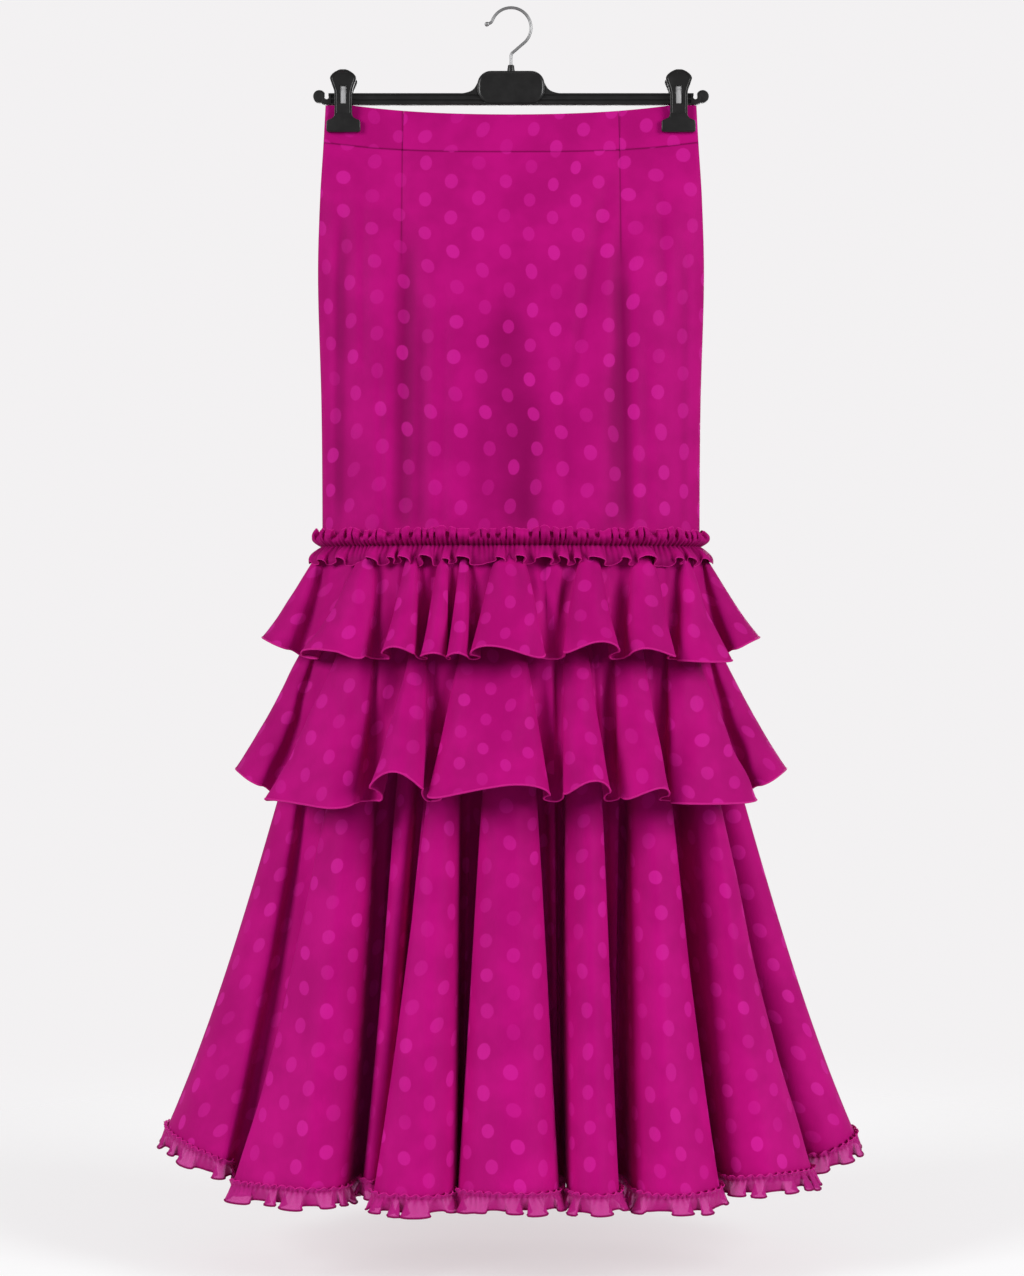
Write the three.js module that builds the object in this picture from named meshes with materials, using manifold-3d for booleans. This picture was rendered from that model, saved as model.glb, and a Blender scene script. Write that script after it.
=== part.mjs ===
// A fitted flamenco skirt with three gathered flounces, hung by its waistband from a clip hanger.
//
// Millimetres, +Z up, X across the skirt, -Y its front. The origin is the point inside the top of
// the hook that rests on a rail, so every piece of the skirt lies below it.
// Each half of the garment is worked out as a front, and a back is such a half turned about Z.

import * as THREE from "three";
import Module from "manifold-3d";
import { mergeVertices } from "three/addons/utils/BufferGeometryUtils.js";

const wasm = await Module();
wasm.setup();

const { PI, abs, acos, cos, sin, max, min, sqrt, hypot } = Math;
const radians = (degrees) => (degrees * PI) / 180;
const mix = (a, b, t) => a + (b - a) * t;
const clamp = (x, low, high) => min(max(x, low), high);

// ---------------------------------------------------------------- driving dimensions

const CLOTH = 1.4; // wall of every cloth piece, measured level
const SEAM_GAP = 0.3; // between two pieces that are sewn together
const HALF_GAP = SEAM_GAP / 2;

// Sections of the fitted tube, top to bottom. pinch is 1 where the clips press it flat.
const TUBE_SECTIONS = [
  { z: -97, halfWidth: 185.5, halfDepth: 10, pinch: 1 },
  { z: -134, halfWidth: 187.5, halfDepth: 16, pinch: 0.95 },
  { z: -190, halfWidth: 191, halfDepth: 34, pinch: 0.45 },
  { z: -270, halfWidth: 193, halfDepth: 53, pinch: 0 },
  { z: -400, halfWidth: 189.5, halfDepth: 60, pinch: 0 },
  { z: -540, halfWidth: 188.5, halfDepth: 64, pinch: 0 },
  { z: -656, halfWidth: 189, halfDepth: 68, pinch: 0 },
];

const WAIST_TOP = -97;
const WAIST_SEAM = -133.5;
const TUBE_BOTTOM = -656;
const TOP_SAG = 11; // how far the band's top edge hangs between the clips
const TOP_SAG_REACH = 160;
const SEAM_SAG = 12.7;
const SEAM_SAG_REACH = 188;
const NEAR_HALF_WIDTH = 188; // the tube's half width, near enough to place cuts and columns by
const BAND_JOINS = 108.5; // from the centre to the front band's joins and the darts under them

const PINCHED_DEPTH = 2.1; // half the thickness of the edge that a clip grips
const PINCHED_TIP = 4; // how far in from the side that edge takes to reach it
const BULGE_REACH = 152; // where the waist opens between the clips

// Darts of a front or back panel: a sewn groove from the waist seam, then a soft trough below it.
const DART = { depth: 1.6, halfWidth: 7, end: -268 };

// Soft troughs in the front of the tube: place across, half width, depth, and where they start and end.
const FRONT_CREASES = [
  { across: -166, halfWidth: 10, depth: 4, from: -170, to: -540 },
  { across: -108, halfWidth: 13, depth: 5, from: -230, to: -545 },
  { across: -84, halfWidth: 10, depth: 3, from: -190, to: -540 },
  { across: 6, halfWidth: 22, depth: 3.5, from: -260, to: -545 },
  { across: 112, halfWidth: 14, depth: 6, from: -210, to: -545 },
  { across: 150, halfWidth: 9, depth: 2.5, from: -150, to: -300 },
];
const BACK_CREASES = [
  { across: -150, halfWidth: 11, depth: 4, from: -180, to: -540 },
  { across: -98, halfWidth: 13, depth: 5, from: -230, to: -545 },
  { across: -40, halfWidth: 12, depth: 3, from: -260, to: -540 },
  { across: 58, halfWidth: 15, depth: 3.5, from: -240, to: -545 },
  { across: 104, halfWidth: 13, depth: 5, from: -220, to: -545 },
  { across: 162, halfWidth: 9, depth: 3, from: -170, to: -420 },
];

// A flounce's middle line is an oval that widens from its seam to its hem. In its folds, crest and
// trough are places across the hem, left to right, out is how far the crest stands out of the oval,
// depth how far the trough lies behind the crest, and lift how much higher the crest's hem hangs.
// side gives the crests on the side seams, which a front and a back share.
const FLOUNCE_1 = {
  top: -546,
  hem: -649,
  seam: { halfWidth: 189.9, halfDepth: 65.4 },
  oval: { halfWidth: 230.5, halfDepth: 109 },
  bend: 0.16,
  swell: 0.8,
  side: { out: 18, leftLift: 21, rightLift: 21 },
  gather: 2.4,
  spread: 0.1,
  levels: [0, 0.15, 0.5, 1],
  front: [
    { crest: -230, trough: -200, out: 18, depth: 30, lift: 21 },
    { crest: -160, trough: -124, out: 18, depth: 33, lift: 7 },
    { crest: -108, trough: -86, out: 17, depth: 31, lift: 12 },
    { crest: -72, trough: -61, out: 14, depth: 25, lift: 6 },
    { crest: -49, trough: -37, out: 18, depth: 29, lift: 6 },
    { crest: -2, trough: 42, out: 19, depth: 33, lift: 10 },
    { crest: 76, trough: 101, out: 20, depth: 33, lift: 16 },
    { crest: 133, trough: 162, out: 19, depth: 32, lift: 9 },
    { crest: 188, trough: 212, out: 16, depth: 29, lift: -3 },
    { crest: 230 },
  ],
  back: [
    { crest: -230, trough: -208, out: 18, depth: 30, lift: 21 },
    { crest: -176, trough: -147, out: 17, depth: 32, lift: 9 },
    { crest: -121, trough: -92, out: 19, depth: 33, lift: 13 },
    { crest: -66, trough: -40, out: 17, depth: 30, lift: 7 },
    { crest: -12, trough: 22, out: 19, depth: 33, lift: 14 },
    { crest: 50, trough: 74, out: 16, depth: 29, lift: 8 },
    { crest: 97, trough: 124, out: 19, depth: 32, lift: 12 },
    { crest: 156, trough: 195, out: 18, depth: 32, lift: 8 },
    { crest: 230 },
  ],
};
const FLOUNCE_2 = {
  top: -610,
  hem: -785,
  seam: { halfWidth: 190, halfDepth: 67.7 },
  oval: { halfWidth: 258, halfDepth: 134 },
  bend: 0.1,
  swell: 1,
  side: { out: 17, leftLift: 26, rightLift: 26 },
  gather: 2.4,
  spread: 0.16,
  levels: [0, 0.1, 0.45, 1],
  front: [
    { crest: -258, trough: -229, out: 17, depth: 29, lift: 26 },
    { crest: -183, trough: -130, out: 20, depth: 38, lift: -4 },
    { crest: -106, trough: -81, out: 24, depth: 42, lift: 30 },
    { crest: -16, trough: 44, out: 20, depth: 40, lift: 16 },
    { crest: 70, trough: 97, out: 22, depth: 41, lift: 21 },
    { crest: 127, trough: 152, out: 21, depth: 40, lift: 12 },
    { crest: 196, trough: 234, out: 18, depth: 34, lift: -3 },
    { crest: 258 },
  ],
  back: [
    { crest: -258, trough: -226, out: 17, depth: 29, lift: 26 },
    { crest: -186, trough: -148, out: 20, depth: 37, lift: 8 },
    { crest: -112, trough: -76, out: 22, depth: 41, lift: 22 },
    { crest: -44, trough: -12, out: 21, depth: 40, lift: 13 },
    { crest: 24, trough: 60, out: 23, depth: 41, lift: 25 },
    { crest: 98, trough: 138, out: 20, depth: 39, lift: 12 },
    { crest: 178, trough: 224, out: 20, depth: 35, lift: 16 },
    { crest: 258 },
  ],
};
const FLOUNCE_3 = {
  top: -649,
  hem: -1152,
  seam: { halfWidth: 190.2, halfDepth: 69.2 },
  oval: { halfWidth: 305, halfDepth: 138 },
  bend: 0.16,
  swell: 1,
  side: { out: 38, leftLift: 35, rightLift: 29 },
  gather: 2.6,
  spread: 0.3,
  levels: [0, 0.04, 0.25, 0.6, 1],
  front: [
    { crest: -305, trough: -254, out: 38, depth: 58, lift: 35 },
    { crest: -190, trough: -149, out: 44, depth: 84, lift: 2 },
    { crest: -136, trough: -122, out: 0, depth: 40, lift: 4 },
    { crest: -87, trough: -50, out: 45, depth: 92, lift: 0 },
    { crest: -1, trough: 50, out: 48, depth: 98, lift: 4 },
    { crest: 77, trough: 110, out: 46, depth: 94, lift: 1 },
    { crest: 148, trough: 192, out: 44, depth: 90, lift: -2 },
    { crest: 235, trough: 281, out: 40, depth: 78, lift: 10 },
    { crest: 305 },
  ],
  back: [
    { crest: -305, trough: -268, out: 38, depth: 72, lift: 29 },
    { crest: -214, trough: -166, out: 42, depth: 82, lift: 8 },
    { crest: -118, trough: -78, out: 46, depth: 92, lift: 1 },
    { crest: -36, trough: 2, out: 44, depth: 90, lift: 4 },
    { crest: 44, trough: 88, out: 47, depth: 95, lift: 0 },
    { crest: 128, trough: 166, out: 44, depth: 88, lift: 4 },
    { crest: 214, trough: 268, out: 42, depth: 80, lift: 10 },
    { crest: 305 },
  ],
};

// The cross-section of a fold: a wide round crest, a straight wall and a narrow round trough.
const CREST_SHARE = 0.82; // of the way across from crest to trough, where the crest is widest
const WALL_SHARE = 0.77; // where the wall meets the trough's rounding
const CREST_ROUND = 0.36; // of the depth, taken by the crest's rounding
const TROUGH_ROUND = 0.2;
const FOLD_STOPS = [0, 0.45, 0.85, 1.7, 3]; // 0 to 1 is the crest, 1 to 2 the wall, 2 to 3 the trough

// The gathered strip over the first flounce's seam: stitched along its middle, free at both edges.
const KNEE_FRILL = {
  wavesPerHalf: 24,
  rows: [
    { z: -524.5, out: 6.2, wave: 3.2 },
    { z: -538, out: 0.5, wave: 0.1 },
    { z: -553.5, out: 13.2, wave: 2.2 },
  ],
};

// The gathered frill along the third flounce's hem: its stitched edge laps the flounce.
const HEM_FRILL = { lap: 4, gap: 0.6, drop: 13, flare: 6, troughFlare: 2.5, wave: 2.2 };

const HANGER = {
  barHalf: 191.5, // centre to the middle of an end bulb
  barTop: -84.5,
  barBottom: -96,
  barDepth: 7,
  bulbRadius: 6.3,
  bulbHeight: -87.6,
  notch: { from: 183, to: 187, floor: -91 },
  plaque: { halfWidth: 33.5, top: -62.5, bottom: -94.5, corner: 13.5, depth: 9 },
  shoulder: { reach: 48, foot: 15 },
  groove: { halfHeight: 1.7, depth: 2.2, inset: 36, end: 150, centres: [-87.6, -92.6] },
  socket: { top: -56, topRadius: 2.7, footRadius: 3.6 },
};
const HOOK = {
  wireRadius: 1.5,
  bend: 20,
  bendFrom: 160, // degrees, anticlockwise from +X
  bendTo: -50,
  tip: [
    { x: -24.6, z: -15 },
    { x: -21.6, z: -14.2 },
  ],
  knobRadius: 2.3,
  neck: [
    { x: 5.4, z: -40.4 },
    { x: 1.2, z: -44.4 },
  ],
  stemTop: -47,
  stemFoot: -66,
  sides: 8,
};
const CLIP = {
  centre: 167.3,
  headTop: -62.5,
  jawBottom: -123.5,
  window: { half: 3.5, top: -78, bottom: -96 },
  spring: { legs: 7.2, thick: 0.9, corner: 3, play: 0.5 },
};
// A lever's right-hand outline from the front, from the foot of the jaw upwards. Heights above the jaw's
// foot or below the head's top.
const LEVER = {
  jaw: { half: 16.7, round: 1.5, topHalf: 16.4, height: 11, shoulderHalf: 10.6, shoulder: 13.5 },
  neck: { half: 8.8, above: 18, topHalf: 8.6, below: 23 },
  head: { half: 13, flankHalf: 12.6, flank: 15, below: 9, crownHalf: 9 },
};
// Its side: out is how far the outer face stands in front of the inner one, and handle how far in front
// of the bar's middle the handle's end stands.
const LEVER_SIDE = {
  handle: 12.5,
  handleThick: 2.6,
  neckThick: 5.6,
  jawThick: 3.7,
  jawTop: -109,
  neckFoot: -99,
};

// ---------------------------------------------------------------- solids from rings

// A wall between two grids of points, each a list of rows, top first, walked with the outside on the right.
function wallGeometry(outer, inner) {
  const rows = outer.length;
  const columns = outer[0].length;
  const at = (layer, row, column) => (layer * rows + row) * columns + column;
  const faces = [];
  const quad = (a, b, c, d) => faces.push(a, b, c, a, c, d);
  for (let r = 0; r < rows - 1; r++) {
    for (let c = 0; c < columns - 1; c++) {
      quad(at(0, r, c), at(0, r + 1, c), at(0, r + 1, c + 1), at(0, r, c + 1));
      quad(at(1, r, c), at(1, r, c + 1), at(1, r + 1, c + 1), at(1, r + 1, c));
    }
    const end = columns - 1;
    quad(at(0, r, 0), at(1, r, 0), at(1, r + 1, 0), at(0, r + 1, 0));
    quad(at(0, r, end), at(0, r + 1, end), at(1, r + 1, end), at(1, r, end));
  }
  for (let c = 0; c < columns - 1; c++) {
    const foot = rows - 1;
    quad(at(0, 0, c), at(0, 0, c + 1), at(1, 0, c + 1), at(1, 0, c));
    quad(at(0, foot, c), at(1, foot, c), at(1, foot, c + 1), at(0, foot, c + 1));
  }
  const positions = [outer, inner].flat(2).flatMap((p) => [p.x, p.y, p.z]);
  const geometry = new THREE.BufferGeometry();
  geometry.setAttribute("position", new THREE.Float32BufferAttribute(positions, 3));
  geometry.setIndex(faces);
  geometry.computeVertexNormals();
  return geometry;
}

// A row of points moved level, square to the row, with its corners mitred. Its two ends, which lie
// on the side seams, move along X alone when seamEnds is set.
function movedOut(row, distance, seamEnds = true) {
  const normalOf = (a, b) => {
    const length = max(hypot(b.x - a.x, b.y - a.y), 1e-6);
    return new THREE.Vector2((b.y - a.y) / length, -(b.x - a.x) / length);
  };
  return row.map((p, i) => {
    const isEnd = i === 0 || i === row.length - 1;
    if (isEnd && seamEnds) return new THREE.Vector3(p.x + distance * (i === 0 ? -1 : 1), p.y, p.z);
    const before = i > 0 ? normalOf(row[i - 1], p) : normalOf(p, row[1]);
    const after = i < row.length - 1 ? normalOf(p, row[i + 1]) : before;
    const middle = before.clone().add(after).normalize();
    const reach = distance / max(middle.dot(after), 0.6);
    return new THREE.Vector3(p.x + middle.x * reach, p.y + middle.y * reach, p.z);
  });
}

// A wall of cloth round a grid of points on its middle surface.
function clothWall(grid) {
  return wallGeometry(
    grid.map((row) => movedOut(row, CLOTH / 2)),
    grid.map((row) => movedOut(row, -CLOTH / 2)),
  );
}

function namedMesh(name, geometry, material) {
  const mesh = new THREE.Mesh(geometry, material);
  mesh.name = name;
  return mesh;
}

// ---------------------------------------------------------------- the fitted tube

// A column of a table at a height, on a smooth curve through its rows.
function smoothColumn(table, column, z) {
  const last = table.length - 1;
  const upper = clamp(table.findIndex((row) => row.z <= z) - 1, 0, last - 1);
  const index = z <= table[last].z ? last - 1 : upper;
  const slope = (i) => {
    const a = table[max(i - 1, 0)];
    const b = table[min(i + 1, last)];
    return (b[column] - a[column]) / (b.z - a.z);
  };
  const from = table[index];
  const to = table[index + 1];
  const span = to.z - from.z;
  const t = clamp((z - from.z) / span, 0, 1);
  const t2 = t * t;
  const t3 = t2 * t;
  return (
    from[column] * (2 * t3 - 3 * t2 + 1) +
    to[column] * (3 * t2 - 2 * t3) +
    slope(index) * span * (t3 - 2 * t2 + t) +
    slope(index + 1) * span * (t3 - t2)
  );
}

const smoothStep = (t) => t * t * (3 - 2 * t);

// How far the tube's outside lies in front of its side seams.
function tubeDepth(x, z) {
  const halfWidth = smoothColumn(TUBE_SECTIONS, "halfWidth", z);
  const halfDepth = smoothColumn(TUBE_SECTIONS, "halfDepth", z);
  const pinch = clamp(smoothColumn(TUBE_SECTIONS, "pinch", z), 0, 1);
  const oval = halfDepth * sqrt(max(1 - (x / halfWidth) ** 2, 0));
  const fromTip = clamp((halfWidth - abs(x)) / PINCHED_TIP, 0, 1);
  const bulge = max(1 - (x / BULGE_REACH) ** 2, 0) ** 2;
  const flat = sqrt(1 - (1 - fromTip) ** 2) * mix(PINCHED_DEPTH, halfDepth, bulge);
  return mix(oval, flat, pinch);
}

// How deep the creases and darts press the tube in.
function creaseDepth(x, z, creases) {
  const soft = creases.reduce((sum, crease) => {
    const reach = crease.from - crease.to;
    const along = clamp((crease.from - z) / reach, 0, 1);
    const length = smoothStep(clamp(along / 0.3, 0, 1)) * smoothStep(clamp((1 - along) / 0.15, 0, 1));
    return sum + crease.depth * length * Math.exp(-(((x - crease.across) / crease.halfWidth) ** 2));
  }, 0);
  const dart = max(1 - abs(abs(x) - BAND_JOINS) / DART.halfWidth, 0);
  const dartLength = clamp((z - DART.end) / (WAIST_SEAM - DART.end), 0, 1);
  return soft + DART.depth * dart * sqrt(dartLength) * (z > WAIST_SEAM - SEAM_SAG ? 0.5 : 1);
}

const sag = (x, depth, reach) => depth * max(1 - (x / reach) ** 2, 0);
const waistTopAt = (x) => WAIST_TOP - sag(x, TOP_SAG, TOP_SAG_REACH);
const waistSeamAt = (x) => WAIST_SEAM - sag(x, SEAM_SAG, SEAM_SAG_REACH);

// Places across the tube between two shares of its width, -1 to 1, closer together at the side seams.
function acrossShares(from, to, count) {
  const start = acos(-from);
  const end = acos(-to);
  return Array.from({ length: count + 1 }, (_, i) => -cos(mix(start, end, i / count)));
}

// A piece of the tube: its columns are shares of the half width, and its rows run from top to bottom.
function tubePiece(shares, topAt, bottomAt, rows, creases, gap = { left: 0, right: 0 }) {
  const outer = Array.from({ length: rows + 1 }, (_, r) =>
    shares.map((share, c) => {
      const near = share * NEAR_HALF_WIDTH;
      const nearZ = mix(topAt(near), bottomAt(near), r / rows);
      const isLeft = c === 0;
      const isRight = c === shares.length - 1;
      const x =
        share * smoothColumn(TUBE_SECTIONS, "halfWidth", nearZ) +
        (isLeft ? gap.left : 0) -
        (isRight ? gap.right : 0);
      const z = mix(topAt(x), bottomAt(x), r / rows);
      const depth = tubeDepth(x, z);
      const press = creaseDepth(x, z, creases) * min(depth / 20, 1);
      return new THREE.Vector3(x, -HALF_GAP - depth + press, z);
    }),
  );
  const endsOnSides = (row) =>
    movedOut(row, -CLOTH, false).map((p, c) => {
      const onLeftSeam = c === 0 && shares[0] === -1;
      const onRightSeam = c === row.length - 1 && shares.at(-1) === 1;
      if (!onLeftSeam && !onRightSeam) return c === 0 || c === row.length - 1 ? straightIn(row[c]) : p;
      return new THREE.Vector3(row[c].x + (onLeftSeam ? CLOTH : -CLOTH), row[c].y, row[c].z);
    });
  return wallGeometry(outer, outer.map(endsOnSides));
}

// The inner point behind an outer one where a piece ends on a seam that faces the front.
const straightIn = (p) => new THREE.Vector3(p.x, min(p.y + CLOTH, -HALF_GAP), p.z);

const halfWidthShare = (x) => x / NEAR_HALF_WIDTH;

function waistbandPieces() {
  const lower = (x) => waistSeamAt(x) + SEAM_GAP;
  const join = halfWidthShare(BAND_JOINS);
  const piece = (from, to, count, gap) =>
    tubePiece(acrossShares(from, to, count), waistTopAt, lower, 2, [], gap);
  return {
    left: piece(-1, -join, 7, { left: 0, right: HALF_GAP }),
    centre: piece(-join, join, 8, { left: HALF_GAP, right: HALF_GAP }),
    right: piece(join, 1, 7, { left: HALF_GAP, right: 0 }),
    backLeft: piece(-1, 0, 10, { left: 0, right: HALF_GAP }),
    backRight: piece(0, 1, 10, { left: HALF_GAP, right: 0 }),
  };
}

// A panel's columns: even ones, and three more at each dart inside the panel.
function panelShares(from, to, count) {
  const even = acrossShares(from, to, count);
  const darts = [-BAND_JOINS, BAND_JOINS]
    .flatMap((x) => [x - DART.halfWidth, x, x + DART.halfWidth])
    .map(halfWidthShare)
    .filter((share) => share > from && share < to);
  const clear = even.filter((share) => darts.every((dart) => abs(dart - share) > 0.02));
  return [...clear, ...darts].sort((a, b) => a - b);
}

function tubePanels() {
  const upper = (x) => waistSeamAt(x);
  const lower = () => TUBE_BOTTOM;
  const panel = (from, to, count, creases, gap) =>
    tubePiece(panelShares(from, to, count), upper, lower, 9, creases, gap);
  return {
    front: panel(-1, 1, 20, FRONT_CREASES, { left: 0, right: 0 }),
    backLeft: panel(-1, 0, 10, BACK_CREASES, { left: 0, right: HALF_GAP }),
    backRight: panel(0, 1, 10, BACK_CREASES, { left: HALF_GAP, right: 0 }),
  };
}

// ---------------------------------------------------------------- flounces

// A stop on the way from a crest to its trough, as shares across and in.
function foldStop(stop) {
  if (stop <= 1) {
    const turn = (stop * PI) / 2;
    return { across: CREST_SHARE * sin(turn), in: CREST_ROUND * (1 - cos(turn)) };
  }
  if (stop <= 2) {
    const down = stop - 1;
    return { across: mix(CREST_SHARE, WALL_SHARE, down), in: mix(CREST_ROUND, 1 - TROUGH_ROUND, down) };
  }
  const turn = ((stop - 2) * PI) / 2;
  return { across: 1 - (1 - WALL_SHARE) * cos(turn), in: 1 - TROUGH_ROUND * (1 - sin(turn)) };
}

// The columns of half a flounce at its hem, left to right: angle round the oval, offset from it and height.
function foldColumns(flounce, label) {
  const { oval, side } = flounce;
  const lifts = label === "front" ? [side.leftLift, side.rightLift] : [side.rightLift, side.leftLift];
  const angleOf = (x) => acos(clamp(-x / oval.halfWidth, -1, 1));
  const folds = flounce[label];
  const crests = folds.map(({ crest, out, lift }, i) => {
    const isEnd = i === 0 || i === folds.length - 1;
    return { angle: angleOf(crest), out: isEnd ? side.out : out, lift: isEnd ? lifts[min(i, 1)] : lift };
  });
  const columns = [];
  folds.slice(0, -1).forEach(({ trough, depth }, i) => {
    const troughOut = crests[i].out - depth;
    const column = (crest, stop) => {
      const { across, in: inward } = foldStop(stop);
      const angle = mix(crest.angle, angleOf(trough), across);
      return { angle, offset: mix(crest.out, troughOut, inward), lift: crest.lift * (1 - inward), inward };
    };
    for (const stop of FOLD_STOPS) columns.push(column(crests[i], stop));
    for (const stop of FOLD_STOPS.slice(1, -1).reverse()) columns.push(column(crests[i + 1], stop));
    if (i === folds.length - 2) columns.push(column(crests[i + 1], 0));
  });
  return columns;
}

// A point of a flounce's middle surface: level 0 is its seam and 1 its hem.
function flouncePoint(flounce, column, level) {
  const flare = mix(level, level ** 4, flounce.bend);
  const halfWidth = mix(flounce.seam.halfWidth, flounce.oval.halfWidth, flare);
  const halfDepth = mix(flounce.seam.halfDepth, flounce.oval.halfDepth, flare);
  const hemShare = cos(column.angle);
  const share = clamp(hemShare * (1 + flounce.spread * (1 - level) * (1 - hemShare ** 2)), -1, 1);
  const away = sqrt(1 - share ** 2);
  const normal = new THREE.Vector2(-share / halfWidth, -away / halfDepth).normalize();
  const atSeam = flounce.gather * (1 - column.inward);
  const offset = mix(atSeam, column.offset, level ** flounce.swell);
  return new THREE.Vector3(
    -share * halfWidth + normal.x * offset,
    -away * halfDepth + normal.y * offset - HALF_GAP,
    mix(flounce.top, flounce.hem + column.lift, level),
  );
}

function flounceGrid(flounce, label) {
  const columns = foldColumns(flounce, label);
  return flounce.levels.map((level) => columns.map((column) => flouncePoint(flounce, column, level)));
}

// ---------------------------------------------------------------- frills

// Half of the knee frill, on the tube's outside.
function kneeFrillGrid() {
  const count = KNEE_FRILL.wavesPerHalf * 4;
  const shares = acrossShares(-1, 1, count);
  const swing = [0, 1, 0, -1];
  return KNEE_FRILL.rows.map((row) => {
    const halfWidth = smoothColumn(TUBE_SECTIONS, "halfWidth", row.z);
    const halfDepth = smoothColumn(TUBE_SECTIONS, "halfDepth", row.z);
    const base = shares.map((share) => {
      const away = sqrt(max(1 - share ** 2, 0));
      return new THREE.Vector3(share * halfWidth, -away * halfDepth - HALF_GAP, row.z);
    });
    const close = movedOut(base, row.out + CLOTH / 2);
    const far = movedOut(base, row.out + row.wave + CLOTH / 2);
    return close.map((p, i) => p.clone().lerp(far[i], swing[i % 4]));
  });
}

// Half of the hem frill: every segment of the flounce's hem carries half a wave.
function hemFrillGrid(flounce, label, grid) {
  const columns = foldColumns(flounce, label);
  const above = grid.at(-2);
  const hem = grid.at(-1);
  const lapRow = hem.map((p, i) => p.clone().lerp(above[i], HEM_FRILL.lap / (above[i].z - p.z)));
  const stitched = movedOut(lapRow, CLOTH + HEM_FRILL.gap);
  const unit = movedOut(hem, 1);
  const edge = (waveShare) =>
    hem.map((p, i) => {
      const flare = mix(HEM_FRILL.flare, HEM_FRILL.troughFlare, columns[i].inward);
      const moved = p.clone().lerp(unit[i], CLOTH + HEM_FRILL.gap + flare + HEM_FRILL.wave * waveShare);
      moved.z = p.z - HEM_FRILL.drop;
      return moved;
    });
  const still = edge(0);
  const swungOut = edge(1);
  const swungIn = edge(-1);
  const top = [];
  const bottom = [];
  hem.forEach((_, i) => {
    top.push(stitched[i]);
    bottom.push(still[i]);
    if (i === hem.length - 1) return;
    const swung = i % 2 ? swungIn : swungOut;
    top.push(stitched[i].clone().lerp(stitched[i + 1], 0.5));
    bottom.push(swung[i].clone().lerp(swung[i + 1], 0.5));
  });
  return [top, bottom];
}

// ---------------------------------------------------------------- the hanger

function solidOf(geometry) {
  const bare = geometry.index ? geometry.toNonIndexed() : geometry.clone();
  bare.deleteAttribute("normal");
  bare.deleteAttribute("uv");
  const merged = mergeVertices(bare, 1e-4);
  return new wasm.Manifold(
    new wasm.Mesh({
      numProp: 3,
      vertProperties: new Float32Array(merged.attributes.position.array),
      triVerts: new Uint32Array(merged.index.array),
    }),
  );
}

function geometryOf(solid) {
  const mesh = solid.getMesh();
  const geometry = new THREE.BufferGeometry();
  geometry.setAttribute("position", new THREE.Float32BufferAttribute(mesh.vertProperties, 3));
  geometry.setIndex(new THREE.BufferAttribute(mesh.triVerts, 1));
  geometry.computeVertexNormals();
  return geometry;
}

// An outline in X and Z, pushed out along Y to both sides of the middle plane.
function plate(shape, depth, curveSegments = 5) {
  const geometry = new THREE.ExtrudeGeometry(shape, { depth, bevelEnabled: false, curveSegments });
  return geometry.translate(0, 0, -depth / 2).rotateX(PI / 2);
}

function box(width, depth, height, x, y, z) {
  return new THREE.BoxGeometry(width, depth, height).translate(x, y, z);
}

function roundedRectangle(halfWidth, low, high, radius) {
  const shape = new THREE.Shape();
  shape.moveTo(-halfWidth + radius, low);
  shape.lineTo(halfWidth - radius, low);
  shape.absarc(halfWidth - radius, low + radius, radius, -PI / 2, 0);
  shape.absarc(halfWidth - radius, high - radius, radius, 0, PI / 2);
  shape.lineTo(-halfWidth + radius, high);
  shape.absarc(-halfWidth + radius, high - radius, radius, PI / 2, PI);
  shape.absarc(-halfWidth + radius, low + radius, radius, PI, (3 * PI) / 2);
  return shape;
}

// The bar's outline: end bulbs, a notch inside each for a loop, and shoulders up to the plaque.
function barOutline() {
  const { barHalf, barTop, barBottom, bulbRadius, bulbHeight, notch, shoulder } = HANGER;
  const shape = new THREE.Shape();
  shape.moveTo(-barHalf, barBottom + 1);
  shape.lineTo(-barHalf + 8, barBottom);
  shape.lineTo(barHalf - 8, barBottom);
  shape.lineTo(barHalf, barBottom + 1);
  shape.absarc(barHalf, bulbHeight, bulbRadius, radians(-80), radians(200));
  shape.lineTo(notch.to, notch.floor + 1);
  shape.lineTo(notch.from + 1, notch.floor);
  shape.lineTo(notch.from, barTop + 1);
  shape.lineTo(notch.from - 2, barTop);
  shape.lineTo(shoulder.reach, barTop);
  shape.quadraticCurveTo(shoulder.reach - 9, barTop + 1, shoulder.reach - 14, barTop + shoulder.foot);
  shape.lineTo(-shoulder.reach + 14, barTop + shoulder.foot);
  shape.quadraticCurveTo(-shoulder.reach + 9, barTop + 1, -shoulder.reach, barTop);
  shape.lineTo(-notch.from + 2, barTop);
  shape.lineTo(-notch.from, barTop + 1);
  shape.lineTo(-notch.from - 1, notch.floor);
  shape.lineTo(-notch.to, notch.floor + 1);
  shape.absarc(-barHalf, bulbHeight, bulbRadius, radians(-20), radians(260));
  return shape;
}

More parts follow.
